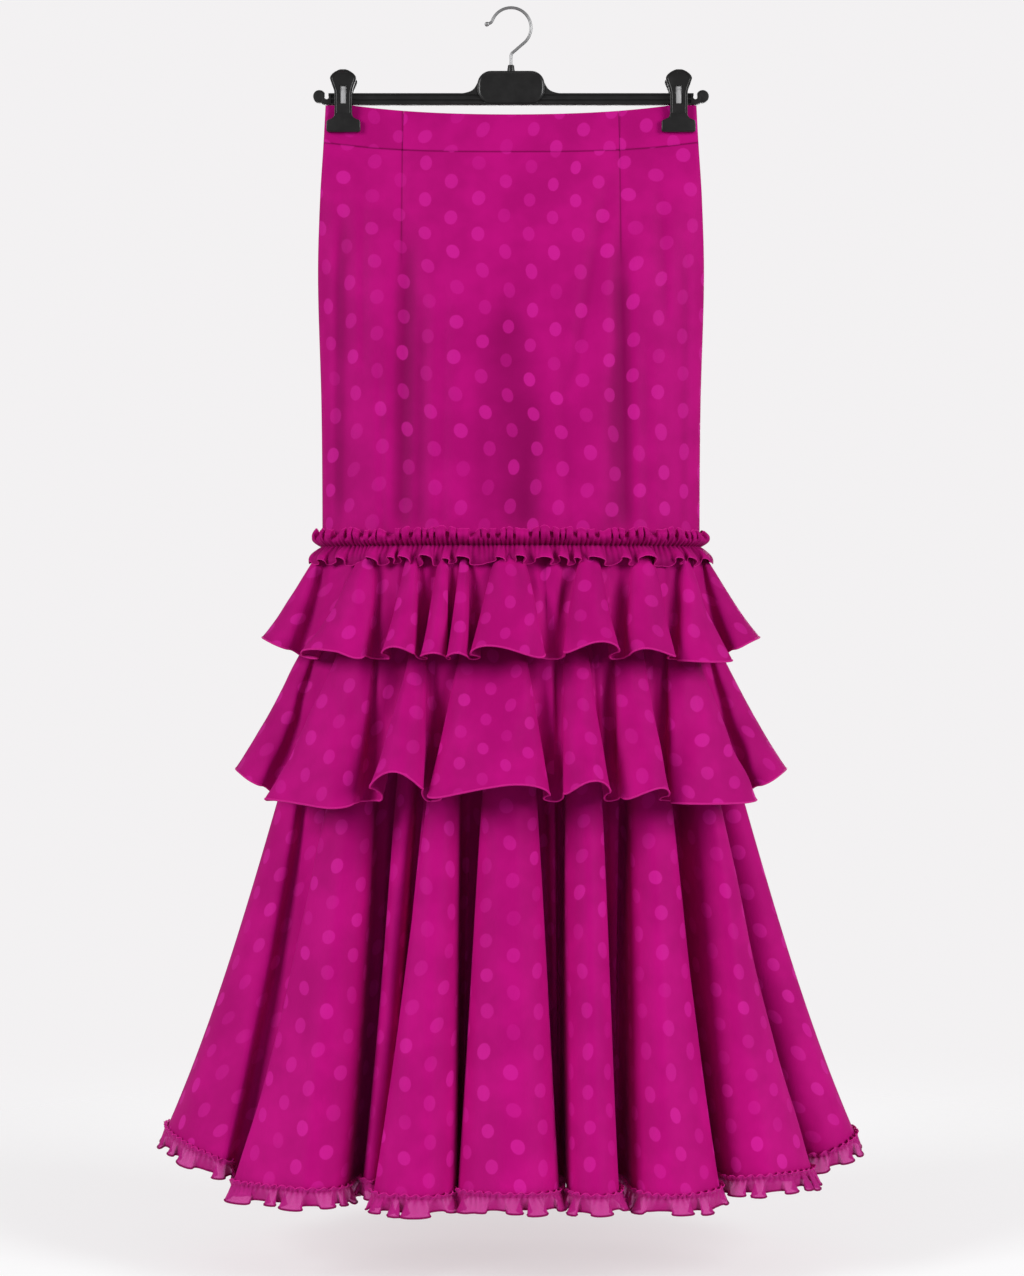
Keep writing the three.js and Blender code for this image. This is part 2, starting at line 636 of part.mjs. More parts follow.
function hangerBar() {
  const { plaque, groove, socket, barDepth } = HANGER;
  const plaqueShape = roundedRectangle(plaque.halfWidth, plaque.bottom, plaque.top, plaque.corner);
  const socketHeight = socket.top - plaque.top + 3;
  const socketSolid = new THREE.CylinderGeometry(socket.topRadius, socket.footRadius, socketHeight, 12)
    .rotateX(PI / 2)
    .translate(0, 0, socket.top - socketHeight / 2);
  const bore = new THREE.CylinderGeometry(HOOK.wireRadius + SEAM_GAP, HOOK.wireRadius + SEAM_GAP, 24, 8)
    .rotateX(PI / 2)
    .translate(0, 0, HOOK.stemFoot - SEAM_GAP + 12);
  let bar = solidOf(plate(barOutline(), barDepth))
    .add(solidOf(plate(plaqueShape, plaque.depth)))
    .add(solidOf(socketSolid))
    .subtract(solidOf(bore));
  const grooveLength = groove.end - groove.inset;
  for (const side of [-1, 1]) {
    for (const face of [-1, 1]) {
      for (const z of groove.centres) {
        const x = side * (groove.inset + grooveLength / 2);
        const y = face * (barDepth / 2);
        bar = bar.subtract(solidOf(box(grooveLength, 2 * groove.depth, 2 * groove.halfHeight, x, y, z)));
      }
    }
  }
  return geometryOf(bar);
}

// The hook's centre line: a round bend open to the left, swept back to a straight stem.
function hookLine() {
  const centre = { x: 0, z: HOOK.wireRadius - HOOK.bend };
  const onBend = (degrees) =>
    new THREE.Vector3(
      centre.x + HOOK.bend * cos(radians(degrees)),
      0,
      centre.z + HOOK.bend * sin(radians(degrees)),
    );
  const inPlane = ({ x, z }) => new THREE.Vector3(x, 0, z);
  const bend = Array.from({ length: 15 }, (_, i) => onBend(mix(HOOK.bendFrom, HOOK.bendTo, i / 14)));
  const tip = HOOK.tip.map(inPlane);
  const neck = HOOK.neck.map(inPlane);
  const stemMiddle = mix(HOOK.stemTop, HOOK.stemFoot, 0.5);
  const stem = [HOOK.stemTop, stemMiddle, HOOK.stemFoot].map((z) => inPlane({ x: 0, z }));
  return new THREE.CatmullRomCurve3([...tip, ...bend, ...neck, ...stem], false, "centripetal");
}

function hookWire() {
  const section = new THREE.Shape();
  section.absarc(0, 0, HOOK.wireRadius, 0, 2 * PI);
  const wire = new THREE.ExtrudeGeometry(section, {
    steps: 40,
    curveSegments: HOOK.sides,
    extrudePath: hookLine(),
  });
  const knob = new THREE.SphereGeometry(HOOK.knobRadius, 8, 6).translate(HOOK.tip[0].x, 0, HOOK.tip[0].z);
  return geometryOf(solidOf(wire).add(solidOf(knob)));
}

// A clip lever's outline, seen from the front: a round head, a waist with a window and a wide jaw.
function leverOutline() {
  const { headTop, jawBottom } = CLIP;
  const { jaw, neck, head } = LEVER;
  const shape = new THREE.Shape();
  shape.moveTo(-jaw.half + jaw.round, jawBottom);
  shape.lineTo(jaw.half - jaw.round, jawBottom);
  shape.quadraticCurveTo(jaw.half, jawBottom, jaw.half, jawBottom + jaw.round);
  shape.lineTo(jaw.topHalf, jawBottom + jaw.height);
  shape.quadraticCurveTo(jaw.shoulderHalf, jawBottom + jaw.shoulder, neck.half, jawBottom + neck.above);
  shape.lineTo(neck.topHalf, headTop - neck.below);
  shape.quadraticCurveTo(head.flankHalf, headTop - head.flank, head.half, headTop - head.below);
  shape.quadraticCurveTo(head.crownHalf, headTop, 0, headTop);
  shape.quadraticCurveTo(-head.crownHalf, headTop, -head.half, headTop - head.below);
  shape.quadraticCurveTo(-head.flankHalf, headTop - head.flank, -neck.topHalf, headTop - neck.below);
  shape.lineTo(-neck.half, jawBottom + neck.above);
  shape.quadraticCurveTo(-jaw.shoulderHalf, jawBottom + jaw.shoulder, -jaw.topHalf, jawBottom + jaw.height);
  shape.lineTo(-jaw.half, jawBottom + jaw.round);
  shape.quadraticCurveTo(-jaw.half, jawBottom, -jaw.half + jaw.round, jawBottom);
  return shape;
}

// The lever's side: the handle stands away from the bar, and the jaw meets the cloth.
function leverSide(jawFace) {
  const { handle, handleThick, neckThick, jawThick, jawTop, neckFoot } = LEVER_SIDE;
  const { headTop, jawBottom } = CLIP;
  const barFace = HANGER.barDepth / 2 + SEAM_GAP;
  const past = 1; // beyond the outline, so that the outline alone sets the ends
  const shape = new THREE.Shape();
  shape.moveTo(jawFace, jawBottom - past);
  shape.lineTo(jawFace, jawTop + 1);
  shape.lineTo(barFace, neckFoot);
  shape.lineTo(barFace, HANGER.barTop);
  shape.lineTo(handle - handleThick, headTop + past);
  shape.lineTo(handle, headTop + past);
  shape.lineTo(barFace + neckThick, HANGER.barTop - 2);
  shape.lineTo(barFace + neckThick, neckFoot);
  shape.lineTo(jawFace + jawThick, jawTop - 1);
  shape.lineTo(jawFace + jawThick, jawBottom - past);
  return shape;
}

function clipLever(jawFace) {
  const { window } = CLIP;
  const face = solidOf(plate(leverOutline(), 60, 3));
  // Shape X becomes depth towards the front, and shape Y height.
  const side = solidOf(
    new THREE.ExtrudeGeometry(leverSide(jawFace), { depth: 60, bevelEnabled: false })
      .translate(0, 0, -30)
      .rotateX(PI / 2)
      .rotateZ(-PI / 2),
  );
  const hole = solidOf(
    box(2 * window.half, 60, window.top - window.bottom, 0, 0, (window.top + window.bottom) / 2),
  );
  return geometryOf(face.intersect(side).subtract(hole));
}

// The steel spring: a band that shows in both windows and bends over the bar between them.
function clipSpring() {
  const { legs, thick, corner, play } = CLIP.spring;
  const half = CLIP.window.half - play;
  const foot = CLIP.window.bottom + SEAM_GAP;
  const crown = CLIP.window.top - SEAM_GAP;
  const band = new THREE.Shape();
  band.moveTo(-legs, foot);
  band.lineTo(-legs, crown - corner);
  band.quadraticCurveTo(-legs, crown, -legs + corner, crown);
  band.lineTo(legs - corner, crown);
  band.quadraticCurveTo(legs, crown, legs, crown - corner);
  band.lineTo(legs, foot);
  band.lineTo(legs - thick, foot);
  band.lineTo(legs - thick, crown - corner);
  band.quadraticCurveTo(legs - thick, crown - thick, legs - corner, crown - thick);
  band.lineTo(-legs + corner, crown - thick);
  band.quadraticCurveTo(-legs + thick, crown - thick, -legs + thick, crown - corner);
  band.lineTo(-legs + thick, foot);
  return new THREE.ExtrudeGeometry(band, { depth: 2 * half, bevelEnabled: false, curveSegments: 3 })
    .translate(0, 0, -half)
    .rotateX(PI / 2)
    .rotateZ(-PI / 2);
}

// ---------------------------------------------------------------- materials and assembly

const magentaCloth = new THREE.MeshStandardMaterial({ color: 0xb31278, roughness: 0.75, metalness: 0 });
const sheerCloth = new THREE.MeshStandardMaterial({ color: 0xc54b96, roughness: 0.6, metalness: 0 });
const blackPlastic = new THREE.MeshStandardMaterial({ color: 0x1c1c1d, roughness: 0.5, metalness: 0 });
const steel = new THREE.MeshStandardMaterial({ color: 0x9a9a9c, roughness: 0.3, metalness: 1 });

const skirt = new THREE.Group();
const frontHalf = new THREE.Group();
const backHalf = new THREE.Group();
backHalf.rotation.z = PI;
skirt.add(frontHalf, backHalf);

const band = waistbandPieces();
const panels = tubePanels();
frontHalf.add(
  namedMesh("waistband_front_left", band.left, magentaCloth),
  namedMesh("waistband_front_centre", band.centre, magentaCloth),
  namedMesh("waistband_front_right", band.right, magentaCloth),
  namedMesh("front_panel", panels.front, magentaCloth),
);
backHalf.add(
  namedMesh("waistband_back_right", band.backLeft, magentaCloth),
  namedMesh("waistband_back_left", band.backRight, magentaCloth),
  namedMesh("back_panel_right", panels.backLeft, magentaCloth),
  namedMesh("back_panel_left", panels.backRight, magentaCloth),
);

for (const [half, label] of [[frontHalf, "front"], [backHalf, "back"]]) {
  half.add(namedMesh("knee_frill_" + label, clothWall(kneeFrillGrid()), magentaCloth));
  [FLOUNCE_1, FLOUNCE_2, FLOUNCE_3].forEach((flounce, i) => {
    const grid = flounceGrid(flounce, label);
    half.add(namedMesh("flounce_" + (i + 1) + "_" + label, clothWall(grid), magentaCloth));
    if (flounce !== FLOUNCE_3) return;
    const frill = clothWall(hemFrillGrid(flounce, label, grid));
    half.add(namedMesh("hem_frill_" + label, frill, sheerCloth));
  });
}

const hanger = new THREE.Group();
skirt.add(hanger);
hanger.add(namedMesh("hanger_bar", hangerBar(), blackPlastic), namedMesh("hanger_hook", hookWire(), steel));
const jawFace = PINCHED_DEPTH + HALF_GAP + SEAM_GAP;
for (const [side, label] of [[-1, "left"], [1, "right"]]) {
  const clip = new THREE.Group();
  clip.position.x = side * CLIP.centre;
  const frontLever = namedMesh("clip_" + label + "_front_lever", clipLever(jawFace), blackPlastic);
  const backLever = namedMesh("clip_" + label + "_back_lever", clipLever(jawFace), blackPlastic);
  backLever.rotation.z = PI;
  clip.add(frontLever, backLever, namedMesh("clip_" + label + "_spring", clipSpring(), steel));
  hanger.add(clip);
}

export default skirt;
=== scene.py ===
"""A magenta flamenco skirt on a clip hanger: fitted tube, knee frill, three flounces and a sheer hem frill.

Garment sizes are in millimetres, in the frame's own axes: X across, -Y the front, +Z up, with the
origin inside the top of the hook. A back half is worked out as a front and turned about Z.
"""

import math
from typing import NamedTuple

import bpy
import numpy as np
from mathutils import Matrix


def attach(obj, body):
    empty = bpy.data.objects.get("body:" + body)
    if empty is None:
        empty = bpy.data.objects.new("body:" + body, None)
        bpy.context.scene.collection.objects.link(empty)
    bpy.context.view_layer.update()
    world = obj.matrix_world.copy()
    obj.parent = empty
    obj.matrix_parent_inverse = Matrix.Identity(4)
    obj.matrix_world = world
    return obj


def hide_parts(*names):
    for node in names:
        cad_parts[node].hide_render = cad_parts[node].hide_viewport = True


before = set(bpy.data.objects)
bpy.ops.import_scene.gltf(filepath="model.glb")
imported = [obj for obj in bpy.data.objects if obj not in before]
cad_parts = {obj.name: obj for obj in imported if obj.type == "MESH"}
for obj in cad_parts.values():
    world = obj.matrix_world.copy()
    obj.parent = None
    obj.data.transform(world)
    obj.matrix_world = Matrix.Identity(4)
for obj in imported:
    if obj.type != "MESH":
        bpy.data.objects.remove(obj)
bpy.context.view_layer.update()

MM = 0.001
HALF_GAP = 0.15  # half the gap between two pieces that are sewn together
CLOTH = 0.9  # thickness of one layer of crepe with its bulk at the seams
BAND_CLOTH = 1.4  # the waistband is folded double
ORGANZA = 0.6

# ---------------------------------------------------------------- garment tables


def rows_of(columns, *rows):
    """A table as a list of dicts, from the names of its columns and its rows."""
    return [dict(zip(columns.split(), row)) for row in rows]


class Fold(NamedTuple):
    """A fold of a flounce: where its crest and the trough on its right lie across the hem, how far out the
    crest stands, how deep the trough lies and how far the hem lifts at the crest."""

    crest: float
    trough: float = 0
    out: float = 0
    depth: float = 0
    lift: float = 0
    lean: float = 0  # 1 where the next crest laps over the trough, -1 where this one does
    narrow: float = 1  # a factor on the width of the lobes beside the trough
    tilt: float = 0  # how much lower the hem hangs on the crest's right, and higher on its left
    shift: float = 0  # how far to the right the crest lies at the seam
    trough_shift: float = 0
    ridge: float = 0  # how far out a small fold stands in the trough


TUBE_SECTIONS = rows_of(
    "z half_width half_depth pinch",
    (-97, 185.5, 10, 1),
    (-134, 187.5, 16, 0.95),
    (-190, 191, 34, 0.45),
    (-270, 193, 53, 0),
    (-400, 189.5, 60, 0),
    (-540, 188.5, 64, 0),
    (-656, 189, 68, 0),
)
WAIST_TOP, WAIST_SEAM, TUBE_BOTTOM = -97, -133.5, -656
TOP_SAG, TOP_SAG_REACH = 11, 160
SEAM_SAG, SEAM_SAG_REACH = 12.7, 188
NEAR_HALF_WIDTH = 188  # the tube's half width, near enough to place cuts and columns by
BAND_JOINS = 108.5
PINCHED_DEPTH, PINCHED_TIP, BULGE_REACH = 2.1, 4, 152
DART = dict(depth=1.6, half_width=4.5, end=-266)

# Soft troughs in the tube. lean is how far the lower end lies to the right of the upper one.
FRONT_CREASES = rows_of(
    "across half_width depth start end lean",
    (-169, 8, 4, -150, -545, -3),
    (-146, 5, 1.4, -160, -380, 2),
    (-128, 4, 1.2, -330, -545, 5),
    (-105, 11, 6, -190, -545, -6),
    (-88, 7, 3, -260, -545, -4),
    (-66, 6, 1.6, -250, -545, -5),
    (-30, 14, 1.8, -300, -545, -6),
    (2, 26, 4.4, -250, -545, 10),
    (18, 12, 2.2, -380, -545, -14),
    (52, 9, 2.0, -290, -545, 14),
    (78, 8, 2.6, -150, -400, -46),
    (99, 7, 2.4, -330, -545, -3),
    (110, 9, 6, -200, -545, 6),
    (133, 7, 1.8, -300, -545, 2),
    (150, 7, 2.2, -150, -330, 6),
    (172, 7, 2.6, -180, -545, -2),
)
BACK_CREASES = rows_of(
    "across half_width depth start end lean",
    (-150, 10, 4, -160, -545, 3),
    (-98, 13, 5, -220, -545, -3),
    (-72, 8, 1.8, -170, -330, -6),
    (-40, 12, 3, -240, -545, 5),
    (24, 11, 1.8, -230, -500, -4),
    (58, 15, 3.5, -220, -545, 4),
    (104, 13, 5, -210, -545, 3),
    (133, 7, 1.6, -300, -545, -3),
    (162, 9, 3, -160, -420, -2),
)

FLOUNCE_1 = dict(
    top=-546, hem=-649, seam=(189.9, 65.4), oval=(230.5, 109), bend=0.16, swell=0.8,
    gather=2.4, spread=0.1, delve=0.7,
    shares=(0.32, 0.94), widening=0.8,
    front=[
        Fold(-230.5, -198, 18, 30, 21, lean=1, trough_shift=12),
        Fold(-160, -124, 18, 33, 7, lean=1, narrow=0.9, tilt=4),
        Fold(-108, -86, 17, 31, 12, lean=0.8),
        Fold(-72, -61, 14, 25, 6),
        Fold(-49, -37, 18, 29, 6, lean=1),
        Fold(-2, 42, 19, 33, 10, narrow=0.82, trough_shift=6, ridge=7, tilt=5),
        Fold(76, 101, 20, 33, 16, lean=-1, shift=8, trough_shift=6, tilt=-3),
        Fold(133, 162, 19, 32, 9, lean=0.6, shift=10, trough_shift=22, tilt=3),
        Fold(188, 212, 16, 29, -3, lean=-0.4, shift=10, trough_shift=8, narrow=1.04),
        Fold(230.5, out=18, lift=21),
    ],
    back=[
        Fold(-230.5, -208, 18, 30, 21),
        Fold(-176, -147, 17, 32, 9, lean=0.8),
        Fold(-121, -92, 19, 33, 13, lean=-0.7),
        Fold(-66, -40, 17, 30, 7),
        Fold(-12, 22, 19, 33, 14, lean=1),
        Fold(50, 74, 16, 29, 8, lean=-0.5),
        Fold(97, 124, 19, 32, 12),
        Fold(156, 195, 18, 32, 8, lean=-0.9),
        Fold(230.5, out=18, lift=21),
    ],
)
FLOUNCE_2 = dict(
    top=-610, hem=-785, seam=(190, 67.7), oval=(258, 134), bend=0.1, swell=1,
    gather=2.4, spread=0.16, delve=0.9,
    shares=(0.4, 0.95), widening=0.75,
    front=[
        Fold(-258, -229, 17, 29, 26, lean=0.8, trough_shift=12, narrow=1.05),
        Fold(-183, -130, 20, 38, -4, lean=1, trough_shift=14, tilt=3),
        Fold(-106, -81, 24, 42, 30, trough_shift=-4),
        Fold(-16, 44, 20, 40, 16, lean=-0.3, narrow=0.9, ridge=6, tilt=-5),
        Fold(70, 97, 22, 41, 21, lean=-0.3, narrow=0.88, ridge=5, tilt=-3),
        Fold(127, 152, 21, 40, 12, lean=0.3, trough_shift=14, shift=6, tilt=-4),
        Fold(196, 234, 18, 34, -3, lean=-0.6, trough_shift=8, shift=8, narrow=1.05),
        Fold(258, out=17, lift=26),
    ],
    back=[
        Fold(-258, -226, 17, 29, 26),
        Fold(-186, -148, 20, 37, 8, lean=0.9),
        Fold(-112, -76, 22, 41, 22, lean=-0.6),
        Fold(-44, -12, 21, 40, 13),
        Fold(24, 60, 23, 41, 25, lean=0.8),
        Fold(98, 138, 20, 39, 12, lean=-0.7),
        Fold(178, 224, 20, 35, 16),
        Fold(258, out=17, lift=26),
    ],
)
FLOUNCE_3 = dict(
    top=-649, hem=-1152, start=0.018, seam=(190.2, 69.2), oval=(305, 138), bend=0.16, swell=1,
    gather=2.6, spread=0.3, delve=0.45,
    shares=(0.36, 0.98), widening=0.6,
    front=[
        Fold(-305, -248, 38, 36, 35, lean=0.35, trough_shift=6),
        Fold(-190, -149, 44, 84, 2, trough_shift=-2, narrow=0.9),
        Fold(-136, -121, 0, 40, 4, lean=1, shift=14, trough_shift=22),
        Fold(-87, -50, 45, 92, 0, shift=12),
        Fold(-1, 50, 48, 98, 4, ridge=26, narrow=0.92),
        Fold(77, 110, 46, 94, 1, ridge=22, lean=0.6, shift=8, trough_shift=22, narrow=0.86),
        Fold(148, 192, 44, 90, -2, ridge=10, lean=-0.8, shift=16, trough_shift=18),
        Fold(235, 281, 40, 78, 10, lean=-0.7, shift=14, trough_shift=8),
        Fold(305, out=38, lift=29),
    ],
    back=[
        Fold(-305, -268, 38, 72, 29),
        Fold(-214, -166, 42, 82, 8, lean=0.8),
        Fold(-118, -78, 46, 92, 1, ridge=22),
        Fold(-36, 2, 44, 90, 4, lean=0.7),
        Fold(44, 88, 47, 95, 0, lean=-0.6),
        Fold(128, 166, 44, 88, 4, ridge=20),
        Fold(214, 268, 42, 80, 10, lean=-0.8),
        Fold(305, out=38, lift=35),
    ],
)

# ---------------------------------------------------------------- small maths


def mix(a, b, t):
    return a + (b - a) * t


def smooth_step(t):
    t = np.clip(t, 0, 1)
    return t * t * (3 - 2 * t)


def smooth_column(table, column, z):
    """A column of a table at heights z, on a smooth curve through its rows."""
    z = np.asarray(z, float)
    heights = np.array([row["z"] for row in table], float)
    values = np.array([row[column] for row in table], float)
    slopes = np.gradient(values, heights)
    last = len(table) - 1
    slopes[1:last] = (values[2:] - values[:-2]) / (heights[2:] - heights[:-2])
    index = np.clip(np.searchsorted(-heights, -z, side="left") - 1, 0, last - 1)
    span = heights[index + 1] - heights[index]
    t = np.clip((z - heights[index]) / span, 0, 1)
    return (
        values[index] * (2 * t**3 - 3 * t**2 + 1)
        + values[index + 1] * (3 * t**2 - 2 * t**3)
        + slopes[index] * span * (t**3 - 2 * t**2 + t)
        + slopes[index + 1] * span * (t**3 - t**2)
    )


def soft_waves(a, b, waves):
    """Slow uneven swells over two distances in millimetres.

    Each wave is (height, length a, length b, phase)."""
    total = np.zeros(np.broadcast(a, b).shape)
    for height, length_a, length_b, phase in waves:
        total += height * np.sin(2 * math.pi * (a / length_a + b / length_b) + phase)
    return total


def distances_along(points, axis):
    steps = np.linalg.norm(np.diff(points, axis=axis), axis=-1)
    start = np.zeros_like(np.take(steps, [0], axis=axis))
    return np.cumsum(np.concatenate([start, steps], axis=axis), axis=axis)


def unit(vectors):
    return vectors / np.maximum(np.linalg.norm(vectors, axis=-1, keepdims=True), 1e-9)


def facing(grid):
    """Unit normals of a grid of points, rows downwards and columns to the right, on its outer side."""
    return unit(np.cross(np.gradient(grid, axis=0), np.gradient(grid, axis=1)))


def turned(points, back=True):
    """The same points, on the back half where back is true."""
    return points * np.array([-1, -1, 1]) if back else points


# ---------------------------------------------------------------- meshes


RIM_STEPS = 3  # how many points round the upper or lower edge of a cloth
# The radii of side seams and of the rolled edges of flounces, the knee frill and the hem frill.
SEAM_ROLL, HEM_ROLL, RUFFLE_ROLL, ORGANZA_EDGE, HEADING_ROLL = 0.45, 1.0, 0.6, 0.95, 0.5


def cloth_mesh(name, points, faces, material, uvs):
    mesh = bpy.data.meshes.new(name)
    mesh.from_pydata((points * MM).tolist(), [], faces)
    layer = mesh.uv_layers.new(name="cloth")
    layer.data.foreach_set("uv", (uvs * MM).astype(np.float32).ravel())
    mesh.polygons.foreach_set("use_smooth", [True] * len(mesh.polygons))
    mesh.materials.append(material)
    mesh.update()
    piece = bpy.data.objects.new(name, mesh)
    bpy.context.scene.collection.objects.link(piece)
    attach(piece, "root")
    return piece


def cloth_piece(node, grid, thickness, material, shade, lobes=None, cut_origin=(0, 0)):
    """A closed shell round a grid of points on its middle surface, with rounded upper and lower edges.

    lobes names the crest column of the fold that each strip of faces belongs to, so that the
    pattern runs straight down each fold and meets its neighbour's at the hem."""
    rows, columns = grid.shape[:2]
    half = facing(grid) * (thickness / 2)

    def rim(row, inner_row, side):
        """The rounded edge beyond the first or last row, from the outside (side 1) or the inside (-1)."""
        beyond = unit(grid[row] - grid[inner_row]) * (thickness / 2)
        turns = math.pi * np.arange(1, RIM_STEPS + 1) / (RIM_STEPS + 1)
        return [grid[row] + side * half[row] * math.cos(turn) + beyond * math.sin(turn) for turn in turns]

    # Down the outside, round the foot, up the inside and round the head.
    points = np.array([*(grid + half), *rim(-1, -2, 1), *(grid - half)[::-1], *rim(0, 1, -1)])
    down, edge = np.arange(rows), np.zeros(RIM_STEPS, int)
    row_of = np.concatenate([down, edge + rows - 1, down[::-1], edge])
    around = len(points)
    number = np.arange(around * columns).reshape(around, columns)
    step, column = np.meshgrid(np.arange(around), np.arange(columns - 1), indexing="ij")
    after = (step + 1) % around
    corners = [(step, column), (after, column), (after, column + 1), (step, column + 1)]
    faces = np.stack([number[s, c] for s, c in corners], -1).reshape(-1, 4).tolist()

    across, fallen = distances_along(grid, 1), distances_along(grid, 0)
    crest_of = np.full(columns - 1, columns // 2) if lobes is None else lobes

    def uv_of(s, c):
        row, crest = row_of[s], crest_of[column]
        u = across[row, c] - across[row, crest] + across[-1, crest] + cut_origin[0]
        return np.stack([u, cut_origin[1] - fallen[row, c]], -1)

    face_uvs = np.stack([uv_of(s, c) for s, c in corners], 2).reshape(-1, 2)
    outer, inner = number[:rows], number[rows + RIM_STEPS : 2 * rows + RIM_STEPS][::-1]
    foot, head = np.arange(rows - 1, rows + RIM_STEPS + 1), np.arange(-RIM_STEPS - 1, 1)
    for c, way in ((0, 1), (columns - 1, -1)):
        caps = np.stack([outer[:-1, c], inner[:-1, c], inner[1:, c], outer[1:, c]], -1).tolist()
        caps += [number[turn[::-1], c].tolist() for turn in (foot, head)]
        faces += [cap[::way] for cap in caps]
    uvs = np.zeros((sum(map(len, faces)), 2))
    uvs[: len(face_uvs)] = face_uvs
    places = turned(points.reshape(-1, 3), "back" in node)
    piece = cloth_mesh(node + "_cloth", places, faces, material, uvs)
    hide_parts(node)
    # The shade is painted shade: a share for each point that the materials darken the cloth by, in creases,
    # gathers, folds and along seams.
    tone = piece.data.attributes.new("crease", "FLOAT", "POINT")
    tones = (np.zeros((rows, columns)) + shade)[row_of]
    tone.data.foreach_set("value", np.clip(tones, 0, 1).astype(np.float32).ravel())
    return piece


def rolled_edge(name, line, radius, material, sides=6, closed=False, up=(0, 0, 1)):
    """A thin roll of cloth along a line of points that runs roughly square to up."""
    before, after = np.roll(line, 1, 0), np.roll(line, -1, 0)
    if not closed:
        before[0], after[-1] = line[0], line[-1]
    along = unit(after - before)
    side = unit(np.cross(along, np.array(up, float)))
    over = np.cross(side, along)
    turns = np.arange(sides) * 2 * math.pi / sides
    ring = side[:, None] * np.cos(turns)[:, None] + over[:, None] * np.sin(turns)[:, None]
    points = line[:, None] + radius * ring
    count = len(line)
    number = np.arange(count * sides).reshape(count, sides)
    i, k = np.meshgrid(np.arange(count if closed else count - 1), np.arange(sides), indexing="ij")
    j, m = (i + 1) % count, (k + 1) % sides
    faces = np.stack([number[i, k], number[i, m], number[j, m], number[j, k]], -1).reshape(-1, 4).tolist()
    if not closed:
        faces += [number[0, ::-1].tolist(), number[-1].tolist()]
    corners = np.concatenate(faces)
    round_roll = (corners % sides) * 2 * math.pi * radius / sides
    uvs = np.stack([distances_along(line, 0)[corners // sides], round_roll], -1)
    cloth_mesh(name, points.reshape(-1, 3), faces, material, uvs)


def side_seams(name, grid):
    """The sewn side seams where a front half meets its back half."""
    for label, column in (("left", 0), ("right", -1)):
        line = grid[:, column] * np.array([1, 0, 1])
        seam = f"{name}_{label}_side_seam"
        rolled_edge(seam, line, SEAM_ROLL, FRILL_CREPE, up=(0, 1, 0))


# ---------------------------------------------------------------- shader nodes


class Value:
    """A socket, with the arithmetic that adds its Math nodes."""

    def __init__(self, nodes, socket):
        self.nodes, self.socket = nodes, socket

    def call(self, operation, *others):
        return self.nodes.add("ShaderNodeMath", {"operation": operation}, dict(enumerate([self, *others])))

    def __add__(self, other):
        return self.call("ADD", other)

    def __sub__(self, other):
        return self.call("SUBTRACT", other)

    def __rsub__(self, other):
        return self.nodes.add("ShaderNodeMath", {"operation": "SUBTRACT"}, {0: other, 1: self})

    def __mul__(self, other):
        return self.call("MULTIPLY", other)

    def __truediv__(self, other):
        return self.call("DIVIDE", other)

    __radd__ = __add__
    __rmul__ = __mul__

    def between(self, low, high):
        """0 below low, 1 above high and smooth in between."""
        inputs = {"Value": self, "From Min": low, "From Max": high}
        return self.nodes.add("ShaderNodeMapRange", {"interpolation_type": "SMOOTHSTEP"}, inputs)


class Nodes:
    """The node tree of a material or of the world."""

    def __init__(self, owner):
        owner.use_nodes = True
        self.owner, self.tree = owner, owner.node_tree
        self.tree.nodes.clear()

    def add(self, kind, settings=None, inputs=None, output=0):
        node = self.tree.nodes.new(kind)
        for key, value in (settings or {}).items():
            setattr(node, key, value)
        for key, value in (inputs or {}).items():
            if isinstance(value, Value):
                self.tree.links.new(value.socket, node.inputs[key])
            else:
                node.inputs[key].default_value = value
        return Value(self, node.outputs[output])

    def colour_mix(self, factor, first, second):
        inputs = {0: factor, 6: first, 7: second}
        return self.add("ShaderNodeMix", {"data_type": "RGBA"}, inputs, output=2)

    def noise(self, vector, scale, detail=2.0, roughness=0.5, output=0):
        inputs = {"Vector": vector, "Scale": scale, "Detail": detail, "Roughness": roughness}
        return self.add("ShaderNodeTexNoise", {}, inputs, output)

    def uv(self):
        return self.add("ShaderNodeUVMap", {"uv_map": "cloth"})

    def crease(self):
        """How much painted shade the cloth carries in its creases, gathers, folds and seams, from 0 to 1."""
        return self.add("ShaderNodeAttribute", {"attribute_name": "crease"}, output=2)

    def place(self):
        return self.add("ShaderNodeTexCoord", output=3)

    def axes(self, vector):
        return [self.add("ShaderNodeSeparateXYZ", {}, {0: vector}, output=i) for i in range(3)]

    def threads(self, uv, spacing):
        """A plain weave of threads both ways, from -1 to 1."""
        u, v, _ = self.axes(uv)
        return (u * spacing).call("SINE") * (v * spacing).call("SINE")

    def bump(self, height, strength, distance):
        inputs = {"Height": height, "Strength": strength, "Distance": distance}
        return self.add("ShaderNodeBump", {}, inputs)

    def surface(self, inputs):
        return self.add("ShaderNodeBsdfPrincipled", {}, inputs)

    def finish(self, shader, kind="ShaderNodeOutputMaterial"):
        output = self.tree.nodes.new(kind)
        self.tree.links.new(shader.socket, output.inputs["Surface"])
        return self.owner


def material_nodes(name):
    return Nodes(bpy.data.materials.new(name))


# ---------------------------------------------------------------- materials

CREPE = (0.455, 0.0034, 0.180, 1)
CREPE_DEEP = (0.375, 0.0024, 0.144, 1)
DOT = (0.56, 0.0120, 0.272, 1)
# Painted shade: the colour that the crepe darkens to in its creases, gathers and seams.
PAINTED_CREASE_SHADE = (0.10, 0.0006, 0.028, 1)
DOT_ACROSS, DOT_DOWN = 0.0262, 0.0362
DOT_HALF_WIDTH, DOT_HALF_HEIGHT = 0.0065, 0.0074
DOT_DRIFT = 0.052  # how far the woven lattice wanders, in metres


